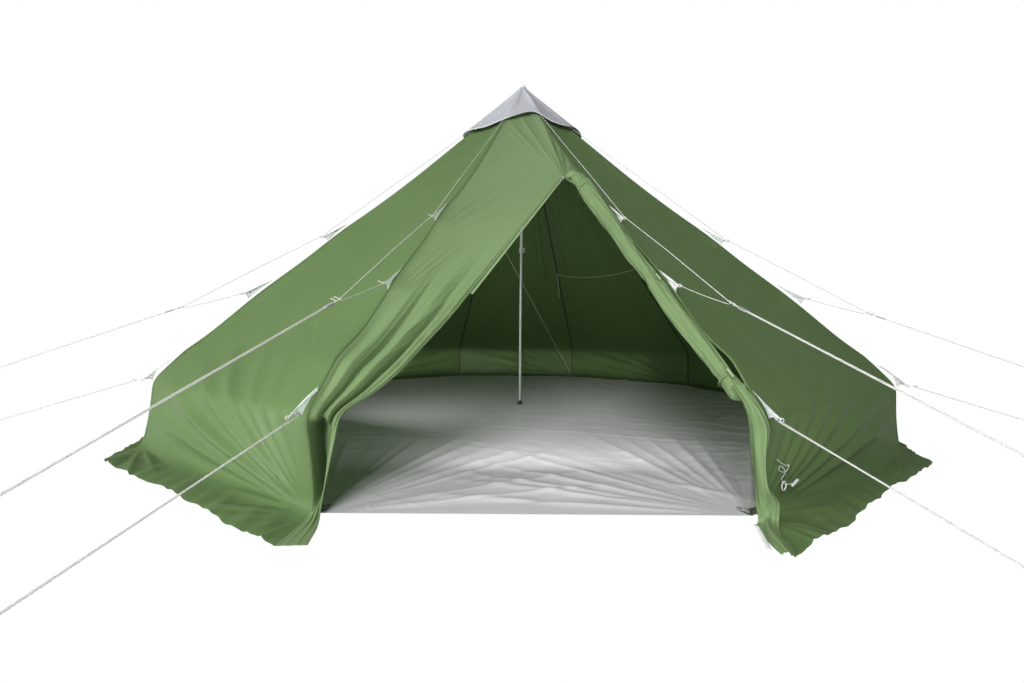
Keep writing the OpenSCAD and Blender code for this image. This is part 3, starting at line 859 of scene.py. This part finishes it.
def door_roll():
    """The rolled half: cloth wound round itself, pinched by its ties."""
    sides, rings = 72, 260
    a, b = np.array(ROLL_TOP), np.array(ROLL_LOW)
    share = np.linspace(0, 1, rings)
    wander = 0.006 * np.sin(share * 9.0) + 0.003 * np.sin(share * 23.0 + 1)
    line = on_door(a[0] + (b[0] - a[0]) * share + wander, a[1] + (b[1] - a[1]) * share,
                   0.004 * np.sin(share * 14.0))
    over = on_door([0.278, 0.302, 0.328], [1.964, 1.980, 1.970], [0.006, 0.012, 0.010])
    line = smooth_line(np.vstack([over, line[4::6]]), rings)
    random = np.random.default_rng(12)
    phases = random.uniform(0, 6.3, 8)

    def radii(t, angle):
        r = roll_radius(t) * 0.97
        pinch = sum(bell((t - roll_share(s)) / 0.012) for s in TIES)
        twist = angle + 5.0 * t
        r = r * (1 - 0.16 * pinch)
        r = r * (1 + 0.10 * np.cos(2 * twist + phases[0]) + 0.045 * np.cos(
            3 * twist + 7 * t + phases[1]))
        # the rolled edge, a step that winds slowly round
        step = (twist * 0.5 / math.pi + 1.1 * t) % 1.0
        r = r + 0.007 * smooth(step / 0.08) * (1 - step)
        for n, (count, wind) in enumerate(((7, 16), (11, -23), (17, 31))):
            r = r + 0.0016 / (n + 1) ** 0.5 * np.cos(count * angle + wind * t + phases[n + 2])
        r = r + 0.0014 * np.cos(90 * t + 2 * angle + phases[5]) * bell((pinch - 0.4) / 0.5)
        top = 0.30 + 0.35 * smooth(t / 0.02) + 0.35 * smooth((t - 0.02) / 0.035)
        return r * top * (0.45 + 0.55 * smooth((1 - t) / 0.012))

    points = tube(line, radii, sides)
    run = np.linspace(0, 1.93, rings)
    uv = np.stack(np.meshgrid(np.linspace(0, 0.25, sides), run), -1)
    faces = capped_tube_faces(rings, sides)
    roll = mesh_piece("door_roll_cloth", points, faces, DOOR, uv)
    settle(roll, "door_roll")


def door_hang():
    """The rolled half's lower end, hanging down the right-hand corner and spread over the
    ground in front of it."""
    rows, columns = 90, 84
    left = smooth_line([(0.770, -2.612, 0.519), (0.788, -2.690, 0.433), (0.804, -2.702, 0.297),
                        (0.824, -2.707, 0.161), (0.842, -2.714, 0.020),
                        (0.818, -2.745, GROUND), (0.797, -2.840, GROUND),
                        (0.787, -2.910, GROUND), (0.785, -2.962, GROUND)], rows)
    right = smooth_line([(0.816, -2.620, 0.520), (0.850, -2.706, 0.430), (0.872, -2.716, 0.360),
                         (0.860, -2.722, 0.250), (0.872, -2.726, 0.150),
                         (0.910, -2.732, 0.090), (0.902, -2.748, 0.020),
                         (0.872, -2.810, GROUND), (0.852, -2.900, GROUND),
                         (0.826, -2.974, GROUND)], rows)
    u = np.linspace(0, 1, columns)
    grid = ruled(left, right, u)
    t = np.linspace(0, 1, rows)[:, None]
    out = np.zeros_like(grid)
    hanging = 1 - smooth((t - 0.52) / 0.14)
    wave = 0.013 * np.cos(2 * math.pi * (1.1 * u[None] + 0.45 * t) + 0.5)
    wave = wave + 0.005 * np.cos(2 * math.pi * (2.7 * u[None] - 0.8 * t) + 1.7)
    wave = wave * (0.35 + 0.65 * smooth(t / 0.25)) * (1 - 0.35 * smooth((t - 0.6) / 0.3))
    out[..., 1] = -(wave + 0.012) * hanging
    out[..., 2] = (np.maximum(wave, -0.004) + 0.006) * (1 - hanging) * 0.9
    grid = grid + out
    grid[..., 2] = np.maximum(grid[..., 2], GROUND)
    width, length = 0.09, 0.85
    uv = np.stack(np.meshgrid(u * width, np.linspace(0, length, rows)), -1)
    rim = np.stack([np.minimum(uv[..., 0], width - uv[..., 0]), uv[..., 1] * 0 + 1], -1)
    sheet_piece("door_cloth_hang", grid, uv, rim, DOOR, "door_roll")


LEFT_GRID, ZIP_ROW = door_left()
door_top_right(LEFT_GRID, ZIP_ROW)
door_roll()
door_hang()

# ---- the hat

HAT_TOP_Z, HAT_TOP_R, HAT_PEAK_Z = 3.004, 0.024, 3.019
# the front of the hem, pulled askew: azimuth, distance from the pole and height
HEM_FRONT = ((-54, 0.600, 2.454), (-36, 0.570, 2.436), (-26, 0.560, 2.457), (-18, 0.545, 2.482),
             (-12, 0.530, 2.506), (0, 0.470, 2.562), (7, 0.455, 2.583), (14, 0.460, 2.581),
             (22, 0.480, 2.537), (30, 0.510, 2.492), (42, 0.540, 2.482), (54, 0.555, 2.504))


def hat_hem(azimuth):
    """Distance from the pole and height of the hat's hem, arched between its corners."""
    a = from_azimuth(azimuth, 0)
    b = np.minimum(np.abs(a), 180 - np.abs(a))
    wide = np.cos(np.radians(np.minimum(b, 54) * 90 / 54)) ** 2
    side = 0.4 * np.sin(np.radians(np.maximum(b - 54, 0) * 90 / 36)) ** 2
    arch = np.where(b < 54, wide, side)
    turn, rho, z = np.array(HEM_FRONT).T
    tucked = bell((a - 54) / 16.0) * (a > 54)  # the right front corner is pulled in
    front = np.abs(a) <= 54
    return (np.where(front, np.interp(a, turn, rho), 0.600 - 0.145 * arch - 0.045 * tucked),
            np.where(front, np.interp(a, turn, z), 2.454 + 0.135 * arch + 0.050 * tucked))


def make_hat_cone():
    """The cloth of the hat; returns its hem's line."""
    rows, columns = 60, 360
    azimuth = np.arange(columns) * 360.0 / columns - 180
    hem_r, hem_z = hat_hem(azimuth)
    for _ in range(24):
        hem_r = 0.5 * hem_r + 0.25 * (np.roll(hem_r, 1) + np.roll(hem_r, -1))
        hem_z = 0.5 * hem_z + 0.25 * (np.roll(hem_z, 1) + np.roll(hem_z, -1))
    hem_r, hem_z = hem_r[None], hem_z[None]
    u = np.linspace(0, 1, rows)[:, None]
    random = np.random.default_rng(8)
    # taut along the guyed seams, hollow between them
    ridge = sum(bell(from_azimuth(azimuth, g) / 7.0) for g in GUYED)[None]
    rho = HAT_TOP_R + (hem_r - HAT_TOP_R) * u
    z = HAT_TOP_Z + (hem_z - HAT_TOP_Z) * u ** 0.94
    z = z - 0.020 * np.sin(math.pi * u) * (1 - ridge) + 0.006 * ridge * np.sin(math.pi * u)
    for turn, width, depth in zip(random.uniform(-180, 180, 26), random.uniform(1.5, 5, 26),
                                  random.uniform(-0.004, 0.005, 26)):
        z = z + depth * crest(from_azimuth(azimuth, turn)[None] / width) * smooth(
            (u - 0.1) * 2) * (1 - 0.5 * smooth((u - 0.55) / 0.45)) * 0.7
    z = z + 0.012 * crest(from_azimuth(azimuth, 18)[None] / 5.0) * smooth(u * 2) * np.sin(
        math.pi * u)
    a = np.radians(azimuth)[None]
    grid = np.stack([rho * np.sin(a), -rho * np.cos(a), z + 0 * a], -1)
    # the hem is turned under
    turned = [grid[-1] - [0, 0, 0.004], grid[-1] * [0.985, 0.985, 1] - [0, 0, 0.004],
              grid[-2] - [0, 0, 0.002]]
    grid = np.concatenate([grid, np.array(turned)])
    count = len(grid)
    uv = np.stack([grid[..., 0], grid[..., 1]], -1) * 1.35
    rim = np.stack([np.repeat((1 - np.clip(np.linspace(0, count / rows, count), 0, 1))[:, None]
                              * 0.8, columns, 1), uv[..., 1] * 0 + 1], -1)
    hat = mesh_piece("hat_cloth_cone", grid, grid_faces(count, columns, closed=True), HAT, uv,
                     rim)
    settle(hat, "vent_hat", "hat")
    return grid[rows - 1]


def make_hat_trim(hem):
    """The cap over the pole's tip, with a rolled rim, and the bound edge of the hem."""
    profile = [(0.016, 3.0188), (0.0235, 3.016), (0.0268, 3.009), (0.0280, 3.001),
               (0.0290, 2.997), (0.0272, 2.994)]
    sides = 48
    rings = lathe(profile, sides)
    points = np.vstack([[[0, 0, HAT_PEAK_Z]], *rings])
    faces = [(0, 1 + i, 1 + (i + 1) % sides) for i in range(sides)]
    faces += [tuple(v + 1 for v in f) for f in grid_faces(len(rings), sides, closed=True)]
    settle(mesh_piece("hat_cap", points, faces, HAT_TRIM, points[:, :2]),
           body="hat")
    binding, faces = hoop(np.vstack([hem, hem[:1]]), 0.0028)
    bound = mesh_piece("hat_hem_binding", binding, faces, HAT_TRIM, binding[..., :2])
    settle(bound, body="hat")


make_hat_trim(make_hat_cone())

# ---- groundsheet


SHEET_GAP, SHEET_LEVEL = 0.020, 0.0035
SHEET_SEAMS = (-1.15, 0.30, 1.62)  # where the sheet's strips are joined, along Y
# how many folds, their ranges in x and y, how their angle is drawn, and the ranges of their
# length, half width and height: long narrow ones, crossing ones, short crinkles at the back
FLOOR_FOLDS = (
    (64, (-1.9, 1.9), (-2.5, 1.9), ("normal", -24, 12), (0.5, 1.5), (0.011, 0.022),
     (0.0015, 0.0045)),
    (40, (-2.0, 2.0), (-2.4, 2.0), ("normal", 34, 20), (0.3, 0.9), (0.010, 0.018),
     (0.001, 0.003)),
    (60, (-2.2, 2.2), (0.9, 2.4), ("uniform", 0, 180), (0.08, 0.3), (0.010, 0.022),
     (0.003, 0.008)))


def make_groundsheet():
    """The floor: long folds, fans from its corners, crinkles at the back."""
    rows, columns = 330, 340
    mid = FLOOR_MID - SHEET_GAP
    corner_r = mid / math.cos(HALF_STEP)
    corners = np.array([polar(seam_azimuth(k), corner_r, 0)[:2] for k in range(SIDES)])
    right = corners[corners[:, 0] > 0.1]
    right = right[np.argsort(right[:, 1])]
    y = -mid + 2 * mid * (0.5 - 0.5 * np.cos(math.pi * np.linspace(0, 1, rows)))
    y = 0.35 * y + 0.65 * np.linspace(-mid, mid, rows)
    half = np.interp(y, right[:, 1], right[:, 0])
    u = np.linspace(-1, 1, columns)
    x = half[:, None] * u[None]
    y = np.repeat(y[:, None], columns, 1)
    random = np.random.default_rng(64)
    height = np.zeros_like(x)

    def ridge(at, angle, length, width, top):
        a = math.radians(angle)
        along = (x - at[0]) * math.cos(a) + (y - at[1]) * math.sin(a)
        across = -(x - at[0]) * math.sin(a) + (y - at[1]) * math.cos(a)
        across = across + 0.05 * np.sin(along * 2.1 + at[0] * 9)
        return top * crest(across / width) * bell(along / length) ** 1.5

    for count, wide, deep, (kind, *angles), *sizes in FLOOR_FOLDS:
        for _ in range(count):
            at = (random.uniform(*wide), random.uniform(*deep))
            angle = getattr(random, kind)(*angles)
            height += ridge(at, angle, *(random.uniform(*size) for size in sizes))
    for px, py in corners:
        inward = math.degrees(math.atan2(-py, -px))
        spread = even_fan(random, inward - 66, inward + 66, 17, 0.018, 0.22)
        height += fan(x, y, (px, py), spread, (0.02, 0.2), (0.45, 1.7))
    for at in SHEET_SEAMS:
        height += 0.003 * crest((y - at) / 0.010)
    edge = np.abs(mid - np.sqrt(x * x + y * y) * np.cos(
        (np.arctan2(x, -y) + HALF_STEP) % (2 * HALF_STEP) - HALF_STEP))
    z = SHEET_LEVEL + np.maximum(height, -0.0015) * smooth(edge / 0.05)
    grid = np.stack([x, y, z], -1)
    uv = np.stack([x, y], -1)
    rim = np.stack([np.minimum.reduce([edge, *(np.abs(y - at) for at in SHEET_SEAMS)]),
                    0 * x + 1], -1)
    floor = mesh_piece("groundsheet_cloth", grid, grid_faces(rows, columns), SHEET, uv, rim)
    settle(floor, "groundsheet")


make_groundsheet()

# ---- patches, crown


def seam_height(rho):
    return PEAK_Z - ROOF_DROP * rho


UPPER_TIP, MIDDLE_TIP, CORNER_TIP = (1.806, 1.384), (2.310, 0.950), (2.862, 0.412)
CORNER_TIP_R = {-18: 2.925, 18: 2.900, -54: 2.840, 54: 2.845}
# each wing's CAD node, the two ends of its base on the seam, and its tip
WINGS = {"upper": ("guy_patches_roof", (1.630, seam_height(1.630) + 0.018),
                   (1.775, seam_height(1.775) + 0.010), UPPER_TIP),
         "middle": ("guy_patches_roof", (2.140, seam_height(2.140) + 0.026),
                    (2.285, seam_height(2.285) + 0.026), MIDDLE_TIP),
         "corner": ("guy_patches_corner", (2.700, seam_height(2.700) + 0.012), None, None)}


WING_ROWS, WING_COLUMNS, WING_CLOTH = 26, 22, 0.12


def wing_grid(a, b, tip, bulge, random):
    """A wing's points, its cloth places and its rim: a base along the seam from a to b, drawn
    to a tip, with its lower edge cut hollow."""
    t = np.linspace(0, 1, WING_ROWS)[:, None, None]
    u = np.linspace(0, 1, WING_COLUMNS)[None, :, None]
    down = unit(np.array([(b - tip)[1], -(b - tip)[0]]))
    if (a - tip) @ down < 0:
        down = -down
    hollow = 0.16 * np.linalg.norm(b - tip) * np.sin(math.pi * t)
    upper, lower = a + (tip - a) * t, b + (tip - b) * t + hollow * down
    grid = upper * (1 - u) + lower * u + bulge * 4 * u * (1 - u) * (1 - t)
    t, u = t[..., 0], u[..., 0]
    side = 0.005 * np.sin(math.pi * t) * np.cos(
        math.pi * (u + 0.2 * t) * random.uniform(1.5, 3))
    side = side + 0.002 * np.sin(9 * u + 4 * t + random.uniform(0, 6)) * (1 - t)
    uv = np.stack([t + 0 * u, u + 0 * t], -1) * WING_CLOTH
    rim = np.stack([np.minimum(uv[..., 1], WING_CLOTH - uv[..., 1]), 1 + 0 * uv[..., 0]], -1)
    return np.stack([grid[..., 0], side, grid[..., 1]], -1), uv, rim


def wing_trim(grid, a, b, tip):
    """A bound edge, a short loop of webbing and a wire ring."""
    ahead = unit(tip - (a + b) / 2)
    middle = tip + 0.003 * ahead
    angles = np.linspace(0, 2 * math.pi, 25)
    ring = np.stack([middle[0] + 0.0075 * np.cos(angles), 0 * angles,
                     middle[1] + 0.0075 * np.sin(angles)], 1)
    strap = [np.insert(tip + along * ahead, 1, 0) for along in (-0.045, -0.020, 0.001)]
    return joined([hoop(np.vstack([grid[:, 0], grid[::-1, -1]]), 0.0018, 6),
                   hoop(ring, 0.0013), rod(smooth_line(strap, 12), 0.0045, squash=0.5)])


def make_wings():
    """The white wings that take the guys: cloth folded to a point, with a loop of webbing
    and a ring at the tip."""
    faces = grid_faces(WING_ROWS, WING_COLUMNS)
    for i, azimuth in enumerate(GUYED, 1):
        random = np.random.default_rng(40 + i)
        turn = Matrix.Rotation(math.radians(azimuth - 90), 4, "Z")  # to the seam's plane
        for which, (node, a, b, tip) in WINGS.items():
            bulge = np.array([0.0, 0.004])
            if which == "corner":
                b = (eave_radius(round((-18 - azimuth) / 36)) + 0.003, EAVE_H - 0.002)
                tip = (CORNER_TIP_R.get(azimuth, CORNER_TIP[0]), 0.408)
                bulge = np.array([0.012, 0.020])
            a, b, tip = map(np.array, (a, b, tip))
            grid, uv, rim = wing_grid(a, b, tip, bulge, random)
            wing = mesh_piece(f"guy_wing_{which}_{i}",
                              [turn @ Vector(p) for p in grid.reshape(-1, 3)], faces, PATCH,
                              uv, rim)
            settle(wing, node)
            # a triangle on its base along the seam
            points, trim_faces = wing_trim(grid, a, b, tip)
            settle(mesh_piece(f"guy_wing_trim_{which}_{i}", [turn @ Vector(p) for p in points],
                              trim_faces, WEBBING))


make_wings()


def make_crown():
    """The reinforced disc on the pole and the straps from it to the roof's seams."""
    rings, count = [(0.0115, 2.8575), (0.0115, 2.8645), (0.030, 2.8648), (0.050, 2.8646),
                    (0.052, 2.8660), (0.055, 2.8646), (0.080, 2.8646), (0.098, 2.8650),
                    (0.1035, 2.8630), (0.1040, 2.8605), (0.1035, 2.8580), (0.098, 2.8575),
                    (0.050, 2.8578), (0.0115, 2.8575)], 72
    grid = lathe(rings, count)
    disc = mesh_piece("crown_disc", grid, grid_faces(len(rings), count, closed=True), TENT,
                      grid[..., :2])
    settle(disc, "roof_crown")
    for k in range(SIDES):
        end = SEAMS[k][0]
        start = polar(seam_azimuth(k), 0.097, 2.8615)
        line = smooth_line([start, (start + end) / 2 + [0, 0, 0.004], end], 14)
        piece = mesh_piece(f"crown_strap_{k + 1}", *rod(line, 0.0125, 16, 0.14), WEBBING)
        settle(piece, "roof_crown")


make_crown()


def make_hems():
    """The walls' hems, turned inwards under the groundsheet's edge, and the tape over the
    eave's seam inside."""
    for k in range(1, SIDES):
        outer = GRIDS[k][FLOOR_ROW]
        inner = outer * [0.980, 0.980, 0]
        grid = np.stack([outer, inner + [0, 0, 0.0045], inner * 0.982 + [0, 0, 0.0030]])
        uv = np.stack(np.meshgrid(np.linspace(0, 1.73, outer.shape[0]), [0, 0.05, 0.09]), -1)
        hem = mesh_piece(f"wall_hem_{k}", grid, grid_faces(*grid.shape[:2]), TENT, uv)
        settle(hem)
        edge = GRIDS[k][EAVE_ROW - 1:EAVE_ROW + 2]
        normal = normals_of(edge)
        outward = polar(-36.0 * k, 1.0, 0.0)
        normal = normal * np.sign((normal @ outward).mean())
        grid = edge - 0.0015 * normal
        uv = np.stack(np.meshgrid(np.linspace(0, 1.74, edge.shape[1]), (0, 0.012, 0.024)), -1)
        tape = mesh_piece(f"eave_tape_{k}", grid, grid_faces(*grid.shape[:2]), TENT, uv)
        settle(tape)


make_hems()


TAPED_SEAMS = range(2, 8)
TAPE_START = 12


def make_seams():
    """Flat-felled seams with a rounded ridge, and near-black webbing over the back ones inside,
    whose dark colour is painted shade along those seams.
    """
    for k, line in enumerate(SEAMS):
        line = line.copy()
        ease(line)
        out = polar(seam_azimuth(k), 1.0, 0.0)
        nodes = line[: FLOOR_ROW + 1]
        ahead = unit(np.gradient(nodes, axis=0))
        across = polar(seam_azimuth(k) + 90, 1.0, 0.0)
        normal = unit(np.cross(across, ahead))
        normal = np.where((normal @ (out + [0, 0, 0.4]))[:, None] < 0, -normal, normal)
        shape = [(-0.009, -0.002), (-0.008, 0.0005), (-0.004, 0.0022), (0.0, 0.0028),
                 (0.004, 0.0022), (0.008, 0.0005), (0.009, -0.002)]
        grid = np.stack([nodes + across * a + normal * b for a, b in shape], 1)
        grid[..., 2] = np.maximum(grid[..., 2], GROUND)
        run = np.arange(len(nodes)) * 0.02
        uv = np.stack([np.repeat(np.array([[a for a, _ in shape]]), len(nodes), 0),
                       np.repeat(run[:, None], len(shape), 1)], -1)
        rim = np.stack([0.009 - np.abs(uv[..., 0]), uv[..., 0] * 0 + 1], -1)
        seam = mesh_piece(f"seam_fold_{k + 1}", grid, grid_faces(*grid.shape[:2]), TENT, uv, rim)
        settle(seam)
        if k not in TAPED_SEAMS:
            continue
        # the tape inside: its near-black colour is painted shade along the seam
        grid = np.stack([nodes + across * a - normal * b
                         for a, b in ((-0.0075, 0.0056), (0.0, 0.0046), (0.0075, 0.0056))], 1)
        grid = grid[TAPE_START:]
        grid[..., 2] = np.maximum(grid[..., 2], 0.006)
        tape = mesh_piece(f"seam_shade_tape_{k + 1}", grid, grid_faces(*grid.shape[:2]), SEAM_TAPE_SHADE)
        settle(tape)


make_seams()


def make_clips():
    """A ladder-lock on a strap at each corner of the groundsheet."""
    frames, straps = [], []
    for k in range(SIDES):
        turn = np.array(Matrix.Rotation(math.radians(seam_azimuth(k)), 3, "Z"))
        corner = smooth_line([(-0.013, -2.728, 0.013), (0.013, -2.728, 0.013),
                              (0.0135, -2.749, 0.013), (-0.0135, -2.749, 0.013),
                              (-0.013, -2.728, 0.013)], 40)
        bar = np.linspace((-0.013, -2.738, 0.014), (0.013, -2.738, 0.014), 6)
        for points, faces in (hoop(corner, 0.0024), rod(bar, 0.002, 8)):
            frames.append((points.reshape(-1, 3) @ turn.T, faces))
        line = smooth_line([(0, -2.700, 0.010), (0, -2.722, 0.011), (0, -2.738, 0.017),
                            (0, -2.752, 0.012), (0, -2.772, 0.012), (0, -2.786, 0.030)], 30)
        side = np.array([0.0095, 0, 0])
        band = np.stack([line - side, line - side * 0.9 + [0, 0, 0.0009],
                         line + side * 0.9 + [0, 0, 0.0009], line + side], 1)
        straps.append((band.reshape(-1, 3) @ turn.T, grid_faces(30, 4)))
    for name, parts, material in (("floor_clip_frames", frames, RUNNER),
                                  ("floor_clip_straps", straps, STRAP)):
        settle(mesh_piece(name, *joined(parts), material), "floor_clips")


make_clips()


def make_inner_toggles():
    """Toggles at the inner eave corners and on two of the back seams."""
    toggles = []
    for k in range(1, SIDES - 1):
        r, z = eave_radius(k) - 0.040, EAVE_H - 0.022
        a = polar(seam_azimuth(k), r, z)
        b = polar(seam_azimuth(k) + 0.5, r - 0.004, z - 0.034)
        line = np.linspace(a, b, 9)
        radii = 0.0042 * (0.7 + 0.3 * np.sin(np.linspace(0, math.pi, 9)) ** 0.5)
        toggles.append(rod(line, radii))
    for azimuth, r, z in ((162, 1.62, 1.36), (-162, 1.64, 1.38)):
        a = polar(azimuth, r, z)
        line = np.linspace(a, a - [0, 0, 0.036], 9)
        toggles.append(rod(line, 0.0042))
    settle(mesh_piece("inner_toggles", *joined(toggles), TOGGLE))


make_inner_toggles()


def make_wall_tie():
    """The tie on the wall by the door: a loop of cord with a ring and a white toggle."""
    wall = GRIDS[9][EAVE_ROW:FLOOR_ROW + 1]
    near = wall if np.linalg.norm(wall[0, 0] - SEAMS[9][EAVE_ROW]) < 0.2 else wall[:, ::-1]
    step = np.linalg.norm(near[0, -1] - near[0, 0]) / COLUMNS
    out = polar(36.0, 1.0, 0.0)

    def on_wall(across, height, lift):
        row = int(np.clip((EAVE_H - height) / EAVE_H * WALL_ROWS, 0, WALL_ROWS))
        return near[row, int(across / step)] + out * lift

    loop = smooth_line([on_wall(a, h, lift) for a, h, lift in (
        (0.120, 0.206, 0.004), (0.128, 0.196, 0.026), (0.150, 0.188, 0.024),
        (0.182, 0.190, 0.022), (0.160, 0.180, 0.024), (0.148, 0.162, 0.024),
        (0.125, 0.156, 0.022), (0.112, 0.170, 0.022), (0.126, 0.180, 0.024),
        (0.136, 0.160, 0.022), (0.134, 0.128, 0.022), (0.160, 0.100, 0.024),
        (0.222, 0.104, 0.026))], 90)
    cord_piece("door_tie_cord", loop, None, radius=0.0016)
    angles = np.linspace(0, 2 * math.pi, 33)
    middle = on_wall(0.135, 0.107, 0.024)
    across = polar(36.0 + 90, 1.0, 0.0)
    ring = (middle + 0.018 * (np.outer(np.cos(angles), across)
                              + np.outer(np.sin(angles), [0, 0, 1])))
    end = on_wall(0.222, 0.104, 0.026)
    half = across * 0.026 + [0, 0, 0.008]
    bar = np.linspace(end - half, end + half, 10)
    parts = [hoop(ring, 0.0022), rod(bar, 0.0055)]
    # the tag on the ground in front of the corner
    tag = smooth_line([(0.806, -2.769, 0.020), (0.787, -2.849, 0.012),
                       (0.763, -2.937, 0.007)], 20)
    parts.append(rod(tag, 0.0075, squash=0.16))
    settle(mesh_piece("door_tie_fittings", *joined(parts), WHITE))


make_wall_tie()


def whipping(at, ahead, radius=0.0034, turns=3, strand=0.0015):
    """A knot: the cord wound round itself, with a short tail."""
    ahead = unit(np.array(ahead, float))
    side = unit(np.cross(ahead, [0.0, 1.0, 0.02]))
    up = np.cross(side, ahead)
    t = np.linspace(0, 1, turns * 14)
    a = 2 * math.pi * turns * t
    line = (np.array(at) + np.outer((t - 0.5) * strand * 2.1 * turns, ahead)
            + radius * (np.outer(np.cos(a), side) + np.outer(np.sin(a), up)))
    tail = np.array([line[-1] + side * 0.004 - up * 0.004, line[-1] + side * 0.007 - up * 0.012,
                     line[-1] + side * 0.009 - up * 0.022])
    line = smooth_line(np.vstack([line, tail]), len(t) + 16)
    return rod(line, strand, 8)


def make_knots():
    """The knots of the guylines at the wings' rings and at the join."""
    parts = []
    lower_from = np.array(CORNER_TIP)
    for azimuth in GUYED:
        turn = turned(azimuth)
        for at, ahead in (((1.822, 1.380), (0.9, -0.4)), ((2.326, 0.946), (0.95, -0.3)),
                             (JOIN, (0.9, -0.4)), (JOIN + [0.02, -0.009], (0.9, -0.4)),
                             (lower_from + [0.016, -0.005], (0.95, -0.3))):
            points, faces = whipping((at[0], 0, at[1]), (ahead[0], 0, ahead[1]))
            parts.append((points.reshape(-1, 3) @ turn.T, faces))
    settle(mesh_piece("guyline_knots", *joined(parts), CORD))


make_knots()


# ---- floor and light


STAGE_HALF = 60.0
WORLD_LIGHT = 0.15


def make_stage():
    g = Graph("stage")
    g.shade(Base_Color=(0.86, 0.86, 0.86), Roughness=0.9)
    # plain white to the camera, as the photo's cut-out background is
    g.show(g.add("ShaderNodeLightPath").outputs["Is Camera Ray"], g.add("ShaderNodeEmission"))
    corners = [(x * STAGE_HALF, y * STAGE_HALF, 0)
               for x, y in ((-1, -1), (1, -1), (1, 1), (-1, 1))]
    floor = mesh_piece("stage_floor", corners, [(0, 1, 2, 3)], g.material)
    floor.location.z = -0.002
    world = bpy.data.worlds.new("studio")
    bpy.context.scene.world = world
    world.use_nodes = True
    nodes, links = world.node_tree.nodes, world.node_tree.links
    background = nodes["Background"]
    background.inputs[0].default_value = (1.0, 1.0, 1.0, 1.0)
    strength = nodes.new("ShaderNodeMath")
    strength.operation = "MULTIPLY_ADD"
    strength.inputs[1].default_value = 1.0 - WORLD_LIGHT
    strength.inputs[2].default_value = WORLD_LIGHT
    links.new(nodes.new("ShaderNodeLightPath").outputs["Is Camera Ray"], strength.inputs[0])
    links.new(strength.outputs[0], background.inputs[1])
    bpy.context.scene.view_settings.view_transform = "Standard"


def area_light(name, place, aim, size, power, spread=180.0):
    data = bpy.data.lights.new(name, "AREA")
    data.spread = math.radians(spread)
    data.shape, data.size, data.size_y = "RECTANGLE", *size
    data.energy = power
    light = bpy.data.objects.new(name, data)
    light.visible_camera = False
    bpy.context.scene.collection.objects.link(light)
    light.location = place
    light.rotation_euler = (Vector(aim) - Vector(place)).to_track_quat("-Z", "Y").to_euler()


def make_lights():
    area_light("key", (-9.0, -7.6, 2.3), (0.0, -1.0, 0.7), (4.0, 2.5), 900)
    area_light("front", (-1.6, -8.2, 4.5), (-0.3, -2.4, 0.1), (3.0, 2.0), 540)
    area_light("top", (-2.0, -2.0, 8.0), (0.0, 0.0, 1.5), (5.0, 5.0), 50)
    # what the real cloth lets through, added inside
    area_light("inside", (0.10, -2.10, 0.42), (0.0, 2.2, 0.36), (1.1, 0.40), 6)
    area_light("inside_wall", (0.0, 0.4, 0.22), (0.0, 2.6, 0.22), (3.6, 0.26), 1.0, spread=8.0)
    area_light("inside_left", (-1.2, -1.0, 0.9), (0.7, 2.1, 0.9), (0.3, 0.3), 9)
    area_light("inside_top", (0.0, 0.1, 1.9), (0.0, 0.2, 0.0), (0.9, 0.9), 2)


make_stage()
make_lights()


CAD_LOOKS = {
    METAL: ("pole_upper", "pole_lower", "pole_clamp", "clamp_lever", "pole_metal"),
    BLACK: ("pole_tip", "black_plastic"),
    RUBBER: ("pole_foot", "foot_rubber"),
    PEG: ("pegs", "peg_metal"),
    ZIP_METAL: ("zip_slider", "zip_pull", "zip_metal"),
    ZIP_TAPE: ("door_zip", "zip_tape"),
    LOOP: ("door_loops", "white_webbing"),
    KNOT: ("door_toggle_upper", "door_toggle_lower", "black_plastic"),
    RUNNER: (*(f"line_runner_{i}" for i in range(1, 9)), "runner_plastic"),
}
for material, (*names, slot_name) in CAD_LOOKS.items():
    for name in names:
        NODES[name].data.materials.clear()
        NODES[name].data.materials.append(material)
